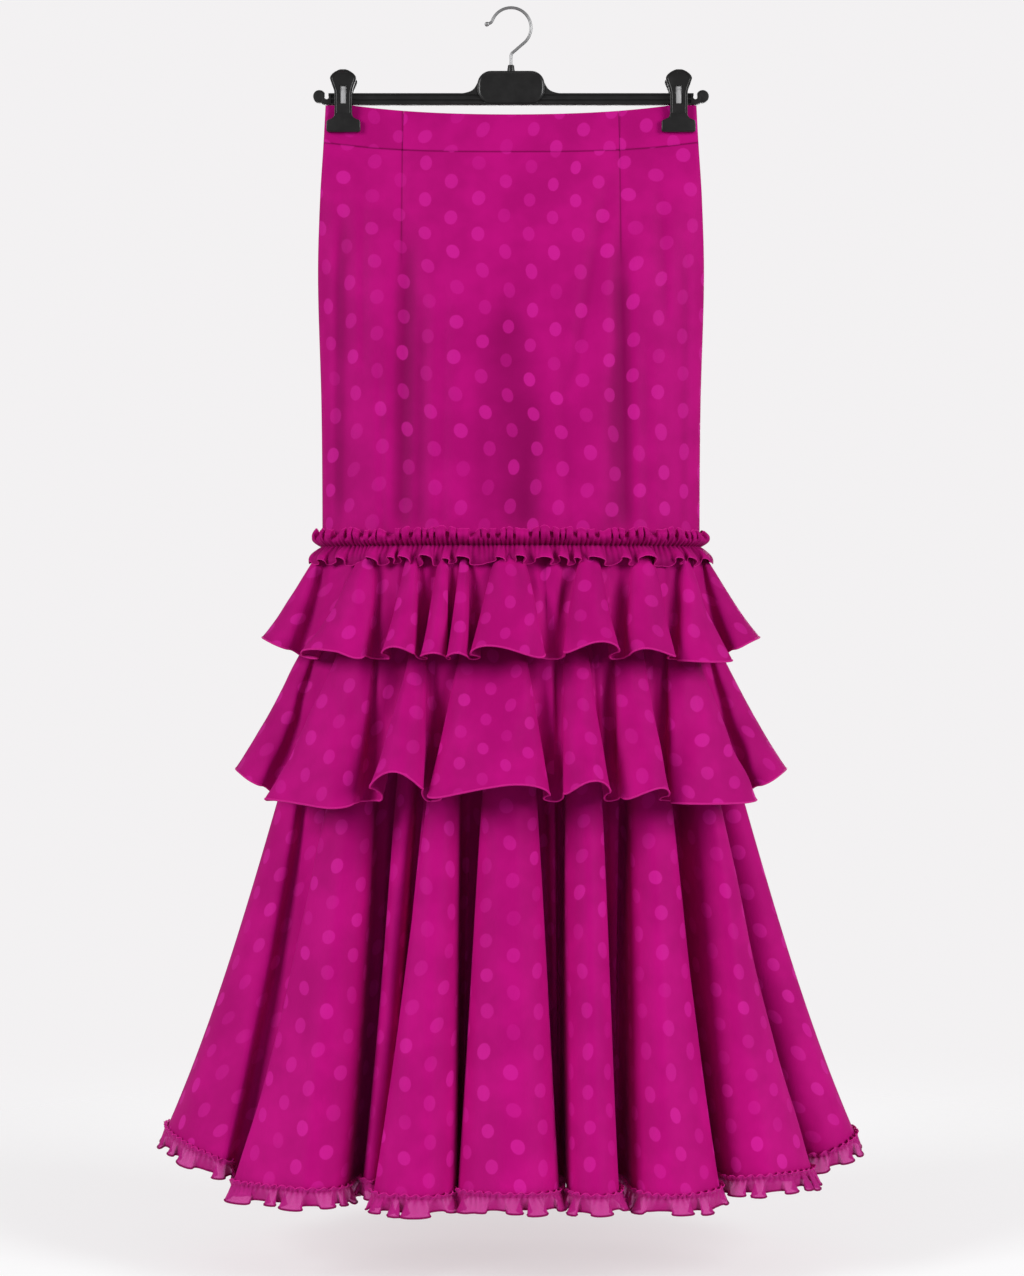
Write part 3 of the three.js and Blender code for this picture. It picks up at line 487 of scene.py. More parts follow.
def dot_mask(n, uv):
    """1 inside the dots of a wandering half-drop lattice in the cloth's metres, and a number for each dot."""
    wobble = n.noise(uv, 900, 2.0) - 0.5
    drift = n.axes(n.noise(uv, 4.6, 1.0, output=1))
    u, v, _ = n.axes(uv)
    u = u + wobble * 0.0009 + (drift[0] - 0.5) * DOT_DRIFT
    v = v + wobble * 0.0007 + (drift[1] - 0.5) * DOT_DRIFT
    column = (u / DOT_ACROSS).call("ROUND")
    in_column = (u - column * DOT_ACROSS) / DOT_HALF_WIDTH
    drop = (column * 0.5).call("FRACT") * DOT_DOWN
    shifted = (v + drop) / DOT_DOWN
    row = shifted.call("ROUND")
    in_row = (shifted - row) * (DOT_DOWN / DOT_HALF_HEIGHT)
    away = (in_column * in_column + in_row * in_row).call("SQRT")
    place = n.add("ShaderNodeCombineXYZ", {}, {0: column, 1: row})
    own = n.add("ShaderNodeTexWhiteNoise", {}, {"Vector": place})
    return 1 - away.between(0.9, 1.06), own


def crepe(name, dots=True):
    """Matt satin crepe: a fine pebbled weave and slow changes of tone, with woven dots and painted shade in its
    creases.
    """
    n = material_nodes(name)
    uv = n.uv()
    slow = n.noise(uv, 14, 3.0, 0.6)
    tone = n.colour_mix(slow.between(0.35, 0.7), CREPE_DEEP, CREPE)
    # Painted shade: the cloth darkens where its crease attribute carries painted shade.
    tone = n.colour_mix(n.crease(), tone, PAINTED_CREASE_SHADE)
    pebble = n.noise(uv, 2600, 2.0, 0.7)
    height = pebble * 0.7 + n.threads(uv, 9000) * 0.15
    roughness = (pebble - 0.5) * 0.1 + 0.62
    if dots:
        mask, own = dot_mask(n, uv)
        patchy = n.noise(uv, 9, 1.0).between(0.25, 0.6) * 0.4 + 0.6
        tone = n.colour_mix(mask * (own * 0.55 + 0.3) * patchy, tone, DOT)
        roughness = roughness - mask * 0.08
        height = height + mask * 0.25
    return n.finish(n.surface({
        "Base Color": tone,
        "Roughness": roughness,
        "Specular IOR Level": 0.22,
        "Specular Tint": (0.9, 0.12, 0.6, 1),
        "Sheen Weight": 0.12,
        "Sheen Roughness": 0.45,
        "Sheen Tint": (1.0, 0.12, 0.62, 1),
        "Normal": n.bump(height, 0.25, 0.0004),
    }))


def organza(name):
    """Sheer organza: a plain open weave, seen through a little."""
    n = material_nodes(name)
    threads = n.threads(n.uv(), 7000)
    # Painted shade, with the denser look of overlapping layers: the organza is darker where the crease
    # attribute is high.
    cloth = n.surface({
        "Base Color": n.colour_mix(n.crease(), (0.52, 0.014, 0.25, 1), (0.34, 0.002, 0.13, 1)),
        "Roughness": 0.5,
        "Specular IOR Level": 0.3,
        "Specular Tint": (0.95, 0.3, 0.7, 1),
        "Sheen Weight": 0.2,
        "Sheen Tint": (1.0, 0.35, 0.75, 1),
        "Normal": n.bump(threads, 0.2, 0.0003),
    })
    clear = n.add("ShaderNodeBsdfTransparent", {}, {"Color": (1.0, 0.60, 0.87, 1)})
    # Less see-through in the folds, for overlapping layers and painted shade.
    cover = 0.58 + threads * 0.05 + n.crease() * 0.37
    return n.finish(n.add("ShaderNodeMixShader", {}, {0: cover, 1: clear, 2: cloth}))


def thread(name, colour):
    """Twisted thread, with painted shade between its turns."""
    n = material_nodes(name)
    u, v, _ = n.axes(n.uv())
    twist = (u * 5200 + v * 2600).call("SINE")
    # Painted shade in the grooves between the turns.
    painted_groove_shade = tuple(c * 0.8 for c in colour[:3]) + (1,)
    return n.finish(n.surface({
        "Base Color": n.colour_mix(twist * 0.5 + 0.5, painted_groove_shade, colour),
        "Roughness": 0.55,
        "Specular IOR Level": 0.2,
        "Specular Tint": (0.9, 0.2, 0.6, 1),
        "Normal": n.bump(twist, 0.3, 0.0003),
    }))


def moulded_plastic(name):
    """Semi-matt black plastic with a fine grain and slow scuffs."""
    n = material_nodes(name)
    grain = n.noise(n.place(), 2500, 2.0, 0.6)
    scuffs = n.noise(n.place(), 90, 4.0, 0.65)
    return n.finish(n.surface({
        "Base Color": n.colour_mix(scuffs, (0.0062, 0.006, 0.0062, 1), (0.0135, 0.013, 0.0133, 1)),
        "Roughness": (scuffs - 0.5) * 0.18 + 0.36,
        "Normal": n.bump(grain, 0.12, 0.0002),
    }))


def steel(name, dark, light):
    """Steel with the fine unevenness of drawn wire, between two tones."""
    n = material_nodes(name)
    drawn = n.noise(n.place(), 1400, 3.0, 0.6)
    return n.finish(n.surface({
        "Base Color": n.colour_mix(drawn, dark, light),
        "Metallic": 1.0,
        "Roughness": (drawn - 0.5) * 0.12 + 0.5,
        "Normal": n.bump(drawn, 0.03, 0.0002),
    }))


DOTTED_CREPE = crepe("dotted_crepe")
FRILL_CREPE = crepe("frill_crepe", dots=False)
# The rolled edges are the crepe painted lighter: a painted highlight along each roll.
HIGHLIT_ROLLED_CREPE = thread("highlit_rolled_crepe", (0.62, 0.016, 0.26, 1))
ORGANZA_CLOTH = organza("sheer_organza")
ORGANZA_ROLL = thread("organza_roll", (0.24, 0.0022, 0.085, 1))
SEWING_THREAD = thread("sewing_thread", (0.30, 0.004, 0.11, 1))
BLACK_PLASTIC = moulded_plastic("black_plastic")
STEEL = steel("bright_steel", (0.31, 0.31, 0.315, 1), (0.38, 0.38, 0.385, 1))
BRUSHED_STEEL = steel("brushed_steel", (0.62, 0.62, 0.63, 1), (0.80, 0.80, 0.81, 1))

# ---------------------------------------------------------------- the fitted tube


def tube_depth(x, z):
    half_width = smooth_column(TUBE_SECTIONS, "half_width", z)
    half_depth = smooth_column(TUBE_SECTIONS, "half_depth", z)
    pinch = np.clip(smooth_column(TUBE_SECTIONS, "pinch", z), 0, 1)
    oval = half_depth * np.sqrt(np.maximum(1 - (x / half_width) ** 2, 0))
    from_tip = np.clip((half_width - np.abs(x)) / PINCHED_TIP, 0, 1)
    bulge = np.maximum(1 - (x / BULGE_REACH) ** 2, 0) ** 2
    flat = np.sqrt(1 - (1 - from_tip) ** 2) * mix(PINCHED_DEPTH, half_depth, bulge)
    return mix(oval, flat, pinch)


def crease_depth(x, z, creases):
    total = np.zeros(np.broadcast(x, z).shape)
    for crease in creases:
        along = np.clip((crease["start"] - z) / (crease["start"] - crease["end"]), 0, 1)
        length = smooth_step(along / 0.3) * smooth_step((1 - along) / 0.15)
        across = crease["across"] + crease["lean"] * (along - 0.5)
        total += crease["depth"] * length * np.exp(-(((x - across) / crease["half_width"]) ** 2))
    return total


def dart_depth(x, z):
    dart = np.exp(-((np.abs(np.abs(x) - BAND_JOINS) / DART["half_width"]) ** 1.2))
    length = np.clip((z - DART["end"]) / (WAIST_SEAM - SEAM_SAG - DART["end"]), 0, 1)
    return DART["depth"] * dart * np.sqrt(length)


def sag(x, depth, reach):
    return depth * np.maximum(1 - (x / reach) ** 2, 0)


def waist_top_at(x):
    return WAIST_TOP - sag(x, TOP_SAG, TOP_SAG_REACH)


def waist_seam_at(x):
    return WAIST_SEAM - sag(x, SEAM_SAG, SEAM_SAG_REACH)


def across_shares(start, end, count, joins=()):
    """Places across the tube as shares of its half width, closer at the side seams and at its joins."""
    shares = -np.cos(np.linspace(math.acos(-start), math.acos(-end), count + 1))
    extra = np.concatenate([[], *((join + JOIN_COLUMNS) / NEAR_HALF_WIDTH for join in joins)])
    extra = extra[(extra > start + 1e-3) & (extra < end - 1e-3)]
    clear = shares[[not np.any(np.abs(extra - share) < 0.0009) for share in shares]]
    return np.sort(np.concatenate([clear, extra]))


SEAM_ROWS = np.array([0.3, 0.7, 1.1, 1.7, 2.4])  # more rows below the waist seam, in millimetres
JOIN_COLUMNS = np.array([-3, -2, -1.3, -0.8, -0.4, 0, 0.4, 0.8, 1.3, 2, 3])
TUBE_SWELLS = [(0.5, 260, 900, 0.4), (0.35, -140, 420, 1.9), (0.25, 90, -300, 3.1)]


def band_foot_at(x):
    return waist_seam_at(x) + 2 * HALF_GAP


def tube_foot_at(x):
    return TUBE_BOTTOM + 0 * x


BAND = dict(edges=(waist_top_at, band_foot_at), rows=40, thickness=BAND_CLOTH, darts=False, pattern=3)
PANEL = dict(edges=(waist_seam_at, tube_foot_at), rows=130, thickness=CLOTH, darts=True, pattern=-38)
CUT_SPACING = 195  # how far the pattern moves on from cut to cut, for each share of the half width
# A crease this deep carries the most painted shade.
DARKEST_PRESS = 6
DART_FADE = 40


def tube_grid(kind, shares, creases, back):
    """The middle surface of a cut, whose outside lies where the sections put it, and its painted shade in
    creases, darts and along seams.
    """
    top_at, bottom_at = kind["edges"]
    t = np.linspace(0, 1, kind["rows"] + 1)
    if kind["darts"]:
        t = np.sort(np.concatenate([t, SEAM_ROWS / (WAIST_SEAM - TUBE_BOTTOM)]))
    t = t[:, None]
    near = shares[None, :] * NEAR_HALF_WIDTH
    near_z = mix(top_at(near), bottom_at(near), t)
    x = shares[None, :] * smooth_column(TUBE_SECTIONS, "half_width", near_z)
    x[:, 0] += HALF_GAP if shares[0] > -1 else 0
    x[:, -1] -= HALF_GAP if shares[-1] < 1 else 0
    z = mix(top_at(x), bottom_at(x), t)
    depth = tube_depth(x, z)
    press = crease_depth(x, z, creases)
    # The front's joins run on down its darts, and show as fine grooves with painted shade along them.
    join = 0 if back else 1
    if kind["darts"]:
        press = press + dart_depth(x, z)
        join = join * smooth_step((z - DART["end"]) / DART_FADE)
    # Painted shade in the creases and darts, darker where they press in further.
    crease_shade = np.clip(press, 0, DARKEST_PRESS) / DARKEST_PRESS
    press = press + soft_waves(x, z, TUBE_SWELLS) * smooth_step(-(z + 150) / 120)
    from_seam = np.abs(z - waist_seam_at(x))
    from_join = np.abs(np.abs(x) - BAND_JOINS)
    roll_in = 0.7 * np.exp(-from_seam / 0.9) + 0.45 * np.exp(-from_join / 0.8) * join
    press = (press + roll_in) * np.minimum(depth / 20, 1)
    outside = np.stack([x, -HALF_GAP - depth + press, z], -1)
    inward = facing(outside) * (kind["thickness"] / 2)
    inward[:, :, 2] *= 0.2
    middle = outside - inward
    middle[:, :, 1] = np.minimum(middle[:, :, 1], -HALF_GAP)
    # Painted shade along the waist seam and the front's joins, where the cloth rolls in.
    seam_shade = 0.75 * np.exp(-((from_seam / 0.8) ** 2)) + 0.6 * np.exp(-((from_join / 0.7) ** 2)) * join
    return middle, 0.55 * crease_shade * smooth_step(crease_shade * 1.5) + seam_shade


def tube_cut(kind, node, start, end, columns, creases=()):
    """A cut between two shares of the half width, with its grid and its mean width in metres."""
    back = "back" in node
    joins = () if back and kind is BAND else (-BAND_JOINS, BAND_JOINS)
    grid, shade = tube_grid(kind, across_shares(start, end, columns, joins), creases, back)
    origin = ((start + end) / 2 * CUT_SPACING, kind["pattern"])
    piece = cloth_piece(node, grid, kind["thickness"], DOTTED_CREPE, shade, cut_origin=origin)
    return piece, grid, float(distances_along(grid, 1)[:, -1].mean()) * MM


def waistband():
    join = BAND_JOINS / NEAR_HALF_WIDTH
    for node, start, end, columns in (
        ("waistband_front_left", -1, -join, 40),
        ("waistband_front_centre", -join, join, 90),
        ("waistband_front_right", join, 1, 40),
        ("waistband_back_right", -1, 0, 80),
        ("waistband_back_left", 0, 1, 80),
    ):
        piece, _, width = tube_cut(BAND, node, start, end, columns)
        flat = (round(width + 0.002, 3), 0.042)


def tube_panels():
    for node, start, end, columns, creases in (
        ("front_panel", -1, 1, 220, FRONT_CREASES),
        ("back_panel_right", -1, 0, 120, BACK_CREASES),
        ("back_panel_left", 0, 1, 120, BACK_CREASES),
    ):
        piece, grid, width = tube_cut(PANEL, node, start, end, columns, creases)
        flat = (round(width + 0.01, 3), 0.525)
        if node == "front_panel":
            side_seams("tube", grid)


# ---------------------------------------------------------------- flounces

CREST_ROUND, TROUGH_ROUND, UNDERCUT = 0.42, 0.2, 0.06
HEM_ARCH = 0.55  # how much of its lift a lobe's hem has lost at the lobe's sides
LEAN_OVER, LEAN_BACK = 0.1, 0.3


def fold_profile(stops, level, shares, widening, lean):
    """Shares across, in and of the hem's lift, from a crest (stop 0) to its trough (stop 3), at each level.

    shares says how much of the way the lobe takes at the top and at the hem, and widening how soon.
    lean is 1 where the lobe's edge laps over the trough, and -1 where its side runs gently down
    under its neighbour's edge."""
    crest_share = mix(shares[0], shares[1], level**widening)
    crest_share = crest_share * (1 + (LEAN_OVER if lean > 0 else LEAN_BACK) * lean)
    wall_share = np.clip(crest_share - UNDERCUT, 0.3, 0.8) + max(-lean, 0) * UNDERCUT
    stops = stops[None, :]
    turn = np.clip(stops, 0, 1) * math.pi / 2
    down = np.clip(stops - 1, 0, 1)
    turned_in = np.clip(stops - 2, 0, 1) * math.pi / 2
    across = (
        crest_share * np.sin(turn),
        mix(crest_share, wall_share, smooth_step(down)),
        1 - (1 - wall_share) * np.cos(turned_in),
    )
    inward = (
        CREST_ROUND * (1 - np.cos(turn)),
        mix(CREST_ROUND, 1 - TROUGH_ROUND, down),
        1 - TROUGH_ROUND * (1 - np.sin(turned_in)),
    )
    which = [stops <= 1, stops <= 2]
    arch = 1 - HEM_ARCH * np.sin(turn) ** 2
    rise = np.where(stops <= 1, arch, (1 - HEM_ARCH) * (1 - smooth_step((stops - 1) / 2)))
    return (
        np.select(which, across[:2], across[2]),
        np.select(which, inward[:2], inward[2]),
        rise,
    )


SHIFT_FADE = 0.3  # as a share of the half width
RIDGE_SHARE = 0.17  # half the width of a small fold in a trough, as a share of the way to the crest
# Small gathers below a gathered seam. Each is (height, length of a wave, distance that it fades over).
GATHERS = [(1.5, 8.3, 19), (2.2, 15.5, 40), (2.4, 27, 70)]


def gathers(across, fall):
    """How far small gathers stand out, at a distance across the seam and a distance down from it."""
    total = np.zeros(np.broadcast(across, fall).shape)
    for height, length, reach in GATHERS:
        drift = 1.6 * np.sin(across / (4.3 * length)) + 0.9 * np.sin(across / (1.7 * length) + length)
        wave = 0.5 + 0.5 * np.sin(2 * math.pi * across / length + drift)
        total = total + height * wave * np.exp(-fall / reach) * smooth_step(fall / 4)
    return total


def flounce_grid(flounce, label, rows, per_half, swells):
    """The middle surface of half a flounce, for each strip of faces the column of its fold's crest, how far
    in each point lies, and the painted shade between its gathers below the seam."""
    wide, deep = flounce["oval"]
    folds = flounce[label]
    level = np.linspace(0, 1, rows + 1)[:, None]
    round_crest, down_wall = per_half // 2, per_half // 4
    stops = np.concatenate([
        np.linspace(0, 1, round_crest, endpoint=False),
        1 + np.linspace(0, 1, down_wall, endpoint=False),
        2 + np.linspace(0, 1, per_half - round_crest - down_wall + 1),
    ])

    def angle_of(x):
        return math.acos(max(-1, min(1, -x / wide)))

    parts, lobes = [], []
    for i, fold in enumerate(folds[:-1]):
        for crest, way in ((fold, -1), (folds[i + 1], 1)):
            shares = np.array(flounce["shares"]) * fold.narrow
            across, inward, rise = fold_profile(stops, level, shares, flounce["widening"], fold.lean * way)
            columns = np.stack(np.broadcast_arrays(
                mix(angle_of(crest.crest), angle_of(fold.trough), across),
                crest.out,
                fold.depth * inward,
                crest.lift * rise + crest.tilt * way * np.sin(math.pi * np.clip(stops, 0, 1)),
                inward,
                fold.ridge * np.maximum(1 - ((1 - across) / RIDGE_SHARE) ** 2, 0) ** 2,
                mix(crest.shift, fold.trough_shift, across),
            ))
            at_end = way == 1 and i == len(folds) - 2
            columns = columns[:, :, ::-way]
            parts.append(columns if at_end else columns[:, :, :-1])
            first = len(lobes)
            lobes += [first + (per_half if way == 1 else 0)] * per_half
    angle, offset, depth_in, lift, inward, ridge, shift = np.concatenate(parts, axis=2)

    flare = mix(level, level**4, flounce["bend"])
    half_width = mix(flounce["seam"][0], wide, flare)
    half_depth = mix(flounce["seam"][1], deep, flare)
    share = np.cos(angle)
    # A shift fades out towards the side seam that it moves a fold to, so that no columns meet there.
    room = np.where(share * shift < 0, smooth_step((1 - np.abs(share)) / SHIFT_FADE), 1)
    moved = shift * room * (1 - level) / half_width
    share = np.clip(share * (1 + flounce["spread"] * (1 - level) * (1 - share**2)) - moved, -1, 1)
    away = np.sqrt(1 - share**2)
    normal = unit(np.stack([-share / half_width, -away / half_depth], -1))
    out = mix(flounce["gather"] * (1 - inward), offset, level ** flounce["swell"])
    start = flounce.get("start", 0)
    sunk = np.clip((level - start) / (1 - start), 0, 1) ** flounce["delve"]
    out = out - depth_in * sunk + ridge * smooth_step(level * 5) * smooth_step((1 - level) * 1.6)
    fall = level * (flounce["top"] - flounce["hem"])
    gather = gathers(share[:1] * half_width[:1], fall)
    swell = soft_waves(share * half_width, fall, swells) * smooth_step(level * 3)
    out = out + (swell + gather) * np.minimum(away * 4, 1)
    grid = np.stack([
        -share * half_width + normal[:, :, 0] * out,
        -away * half_depth + normal[:, :, 1] * out - HALF_GAP,
        mix(flounce["top"], flounce["hem"] + lift, level),
    ], -1)
    # Painted shade between the small gathers, fading away below the seam.
    return grid, np.array(lobes), inward, 0.42 * np.clip(1.8 - gather, 0, 1.5) * np.exp(-fall / 22)


LONG_SWELLS = [(1.1, 95, 900, 0.3), (0.9, -61, 520, 1.7), (0.6, 34, -700, 4.1), (0.35, 21, 900, 2.2)]
SHORT_SWELLS = [(1.3, 75, 150, 0.3), (1.0, -48, 110, 1.7), (0.7, 29, -90, 4.1), (0.4, 17, 140, 2.9)]
# Number, sizes, rows down, columns from a crest to its trough, and swells.
FLOUNCES = [
    (1, FLOUNCE_1, 40, 20, SHORT_SWELLS),
    (2, FLOUNCE_2, 56, 24, SHORT_SWELLS),
    (3, FLOUNCE_3, 90, 22, LONG_SWELLS),
]


def flounces():
    """The three flounces, and the grids of the third and how far in their points lie."""
    for number, table, rows, per_half, swells in FLOUNCES:
        halves = []
        for label in ("front", "back"):
            grid, lobes, inward, shade = flounce_grid(table, label, rows, per_half, swells)
            node = f"flounce_{number}_{label}"
            piece = cloth_piece(node, grid, CLOTH, DOTTED_CREPE, shade, lobes)
            halves.append((grid, inward))
        (front, _), (back, _) = halves
        side_seams(f"flounce_{number}", front)
        if number < len(FLOUNCES):
            line = np.concatenate([front[-1], turned(back[-1])])
            hem = f"flounce_{number}_rolled_hem"
            rolled_edge(hem, line, HEM_ROLL, HIGHLIT_ROLLED_CREPE, sides=8, closed=True)
    return halves


# ---------------------------------------------------------------- frills


def uneven_waves(s, ends, seed):
    """The phase of a row of waves of uneven length, and how large each is. s counts the waves."""
    ease = smooth_step(np.minimum(s, ends - s) / 1.5)
    drift = 0.30 * np.sin(s * 0.93 + seed) + 0.20 * np.sin(s * 2.31 + 2 * seed) + 0.08 * np.sin(s * 5.3)
    size = 1 + 0.28 * np.sin(s * 0.61 + seed) * np.sin(s * 1.73 + 1)
    return 2 * math.pi * (s + drift * ease), size, ease


def fine_gathers(at, length, seed):
    """Close gathers beside a row of stitches, from -1 to 1."""
    return np.sin(2 * math.pi * at / length + 1.7 * np.sin(at / (2.3 * length) + seed))


STITCH = dict(length=2.2, pitch=3.1, radius=0.32)


def stitches(name, line, normals):
    """A row of short stitches that lie on a line."""
    length, pitch, radius = STITCH["length"], STITCH["pitch"], STITCH["radius"]
    along = distances_along(line, 0)
    starts = np.arange(0.5, along[-1] - length, pitch)
    places = starts[:, None] + length * np.array([0, 0.15, 0.5, 0.85, 1])
    sizes = radius * np.array([0.05, 0.8, 1, 0.8, 0.05])

    def at(values, where):
        return np.stack([np.interp(where, along, values[:, i]) for i in range(3)], -1)

    centre, out = at(line, places), at(normals, places)
    across = np.cross(unit(centre[:, -1:] - centre[:, :1]) + 0 * centre, out)
    turns = np.arange(6) * math.pi / 3
    ring = across[..., None, :] * np.cos(turns)[:, None] + out[..., None, :] * np.sin(turns)[:, None]
    points = centre[..., None, :] + ring * sizes[:, None, None]
    number = np.arange(points.size // 3).reshape(points.shape[:3])
    after = np.roll(number, -1, axis=2)
    faces = np.stack([number[:, :-1], number[:, 1:], after[:, 1:], after[:, :-1]], -1).reshape(-1, 4).tolist()
    faces += number[:, 0].tolist() + number[:, -1, ::-1].tolist()
    flat = points.reshape(-1, 3)
    cloth_mesh(name, flat, faces, SEWING_THREAD, flat[np.concatenate(faces)][:, [0, 2]])


KNEE_STITCHES = -538  # their height, and how far the strip reaches above and below them
KNEE_RISE, KNEE_DROP, KNEE_CLOTH = 14, 15.5, 0.7


def knee_frill():
    """Two tiers of ruffles on one strip, gathered along its stitched middle on the tube."""
    upper_waves, lower_waves, rows, count = 44, 20, 28, 920
    shares = across_shares(-1, 1, count)
    w = np.linspace(-1, 1, rows + 1)[:, None]  # -1 the upper edge, 0 the stitching and 1 the lower edge
    z = KNEE_STITCHES - np.where(w < 0, KNEE_RISE, KNEE_DROP) * w
    half_width = smooth_column(TUBE_SECTIONS, "half_width", z)
    half_depth = smooth_column(TUBE_SECTIONS, "half_depth", z)
    away = np.sqrt(np.maximum(1 - shares**2, 0))[None, :]
    across = shares[None, :]
    base = np.stack([across * half_width, -away * half_depth - HALF_GAP, z + 0 * across], -1)
    normal = facing(base)
    normal[:, :, 2] = 0
    tangent = unit(np.gradient(base[rows // 2], axis=0))
    along = distances_along(base, 1)[rows // 2]
    upper, lower = np.maximum(-w, 0), np.maximum(w, 0)
    for label, seed in (("front", 0.0), ("back", 2.3)):
        high, high_size, high_ease = uneven_waves(along / along[-1] * upper_waves, upper_waves, seed)
        low, low_size, low_ease = uneven_waves(along / along[-1] * lower_waves, lower_waves, seed + 1)
        high_size, low_size = high_size * high_ease, low_size * low_ease
        # Slow changes in how full and how tall the upper ruffle stands.
        full = 0.5 + 0.32 * np.sin(along / 17 + seed) + 0.18 * np.sin(along / 7.3 + 2 * seed)
        fine = fine_gathers(along, 4.6, seed)
        # The upper tier puffs out over the stitching and turns in again at its edge.
        out = 0.9 + 9.6 * np.sin(2.55 * upper) + 12.6 * np.sin(1.8 * lower)
        out = out + upper**0.85 * (1.7 + 2.0 * full) * high_size * np.sin(high)
        out = out - 1.6 * upper * (1 - full)
        out = out + 3.9 * lower**0.9 * low_size * np.sin(low)
        out = out + 1.0 * fine * np.exp(-np.abs(w) * 2) * low_ease
        grid = base + normal * np.maximum(out, 0.9)[:, :, None]
        curl = 1.7 * upper * high_size * np.sin(2 * high) + 2.6 * lower * low_size * np.sin(2 * low)
        grid = grid - tangent[None] * curl[:, :, None]
        loops = 2.4 * high_size * np.sin(high) + 1.1 * np.sin(high * 2.3 + 1)
        grid[:, :, 2] += upper * (loops + 2.6 * (full - 0.5))
        grid[:, :, 2] += lower * (3.9 * low_size * np.sin(low + 0.4) + 1.2 * np.sin(high * 0.31))
        node = f"knee_frill_{label}"
        # Painted shade: darker in the gathers beside the stitching and in the folds of the ruffles.
        shade = 0.7 * (0.55 - 0.45 * fine) * np.exp(-np.abs(w) * 2.2) + 0.35 * np.exp(-np.abs(w) * 9)
        in_fold = np.where(w < 0, 0.5 - 0.5 * np.sin(high), 0.5 - 0.5 * np.sin(low))
        shade = shade + np.where(w < 0, 0.14, 0.4) * in_fold**1.5 * np.sqrt(np.abs(w))
        piece = cloth_piece(node, grid, KNEE_CLOTH, FRILL_CREPE, shade)
        back = label == "back"
        for edge, row in (("upper", 0), ("lower", -1)):
            roll = f"{node}_{edge}_roll"
            rolled_edge(roll, turned(grid[row], back), RUFFLE_ROLL, HIGHLIT_ROLLED_CREPE)
        seam, outward = grid[rows // 2] + normal[rows // 2] * 0.45, normal[rows // 2]
        stitches(f"{node}_stitches", turned(seam, back), turned(outward, back))


def resampled(line, values, count):
    """Points evenly spaced along a line, with the values that go with them."""
    along = distances_along(line, 0)
    at = np.linspace(0, along[-1], count)
    places = np.stack([np.interp(at, along, line[:, i]) for i in range(3)], -1)
    return places, np.interp(at, along, values), at


def hem_frill(edges):
    """The organza frill gathered on to the third flounce's hem, with a small heading above the stitches."""
    heading_height, drop, wave_length, per_wave = 4, 13, 25, 22
    w = np.concatenate([np.linspace(-heading_height, 0, 5), np.linspace(0, drop, 12)[1:]])[:, None]
    heading, fall = np.clip(-w / heading_height, 0, 1), np.clip(w / drop, 0, 1)
    for label, seed, (grid, inward) in zip(("front", "back"), (0.4, 3.7), edges):
        full_length = distances_along(grid[-1], 0)[-1]
        waves = int(full_length / wave_length)
        hem, depth_in, at = resampled(grid[-1], inward[-1], waves * per_wave + 1)
        above, _, _ = resampled(grid[-3], inward[-1], waves * per_wave + 1)
        rise = unit(hem - above)
        side = unit(np.gradient(hem, axis=0) * np.array([1, 1, 0]))
        out = np.cross(side, np.array([0, 0, 1.0]))
        phase, size, ease = uneven_waves(at / full_length * waves, waves, seed)
        room = size * ease * mix(1.0, 0.45, depth_in)
        fine = fine_gathers(at, 5.2, seed)
        small = fine_gathers(at, 9.0, seed + 1)
        push = 1.9 + mix(5.2, 1.4, depth_in) * fall + (0.2 + 4.6 * fall**0.7) * room * np.sin(phase)
        push = push + 0.9 * fine * np.exp(-np.abs(w) / 5) + 1.7 * heading * (1 + small)
        grid_frill = hem[None] + out[None] * push[:, :, None] + rise[None] * np.minimum(w, 0)[:, :, None]
        grid_frill[:, :, 2] -= np.maximum(w, 0) * np.ones_like(phase)
        grid_frill = grid_frill - side[None] * (4.4 * fall**0.8 * room * np.sin(2 * phase))[:, :, None]
        grid_frill[:, :, 2] += 1.2 * heading * np.roll(small, 2)
        grid_frill[:, :, 2] -= fall * ease * (1.5 * size * np.sin(phase) + 0.9 * np.sin(phase * 0.37))
        node, back = f"hem_frill_{label}", label == "back"
        # Painted shade in the gathers beside the stitching and in the folds at the back of each wave.
        shade = 0.8 * (0.5 - 0.5 * fine) * np.exp(-np.abs(w) / 4) + 0.6 * np.exp(-np.abs(w))
        shade = shade + 0.9 * fall**0.5 * np.clip(-np.sin(phase + 0.3), 0, 1)
        piece = cloth_piece(node, grid_frill, ORGANZA, ORGANZA_CLOTH, shade)
        edge, top = turned(grid_frill[-1], back), turned(grid_frill[0], back)
        rolled_edge(node + "_roll", edge, ORGANZA_EDGE, ORGANZA_ROLL)
        rolled_edge(node + "_heading_roll", top, HEADING_ROLL, HIGHLIT_ROLLED_CREPE, sides=5)


# ---------------------------------------------------------------- the hanger

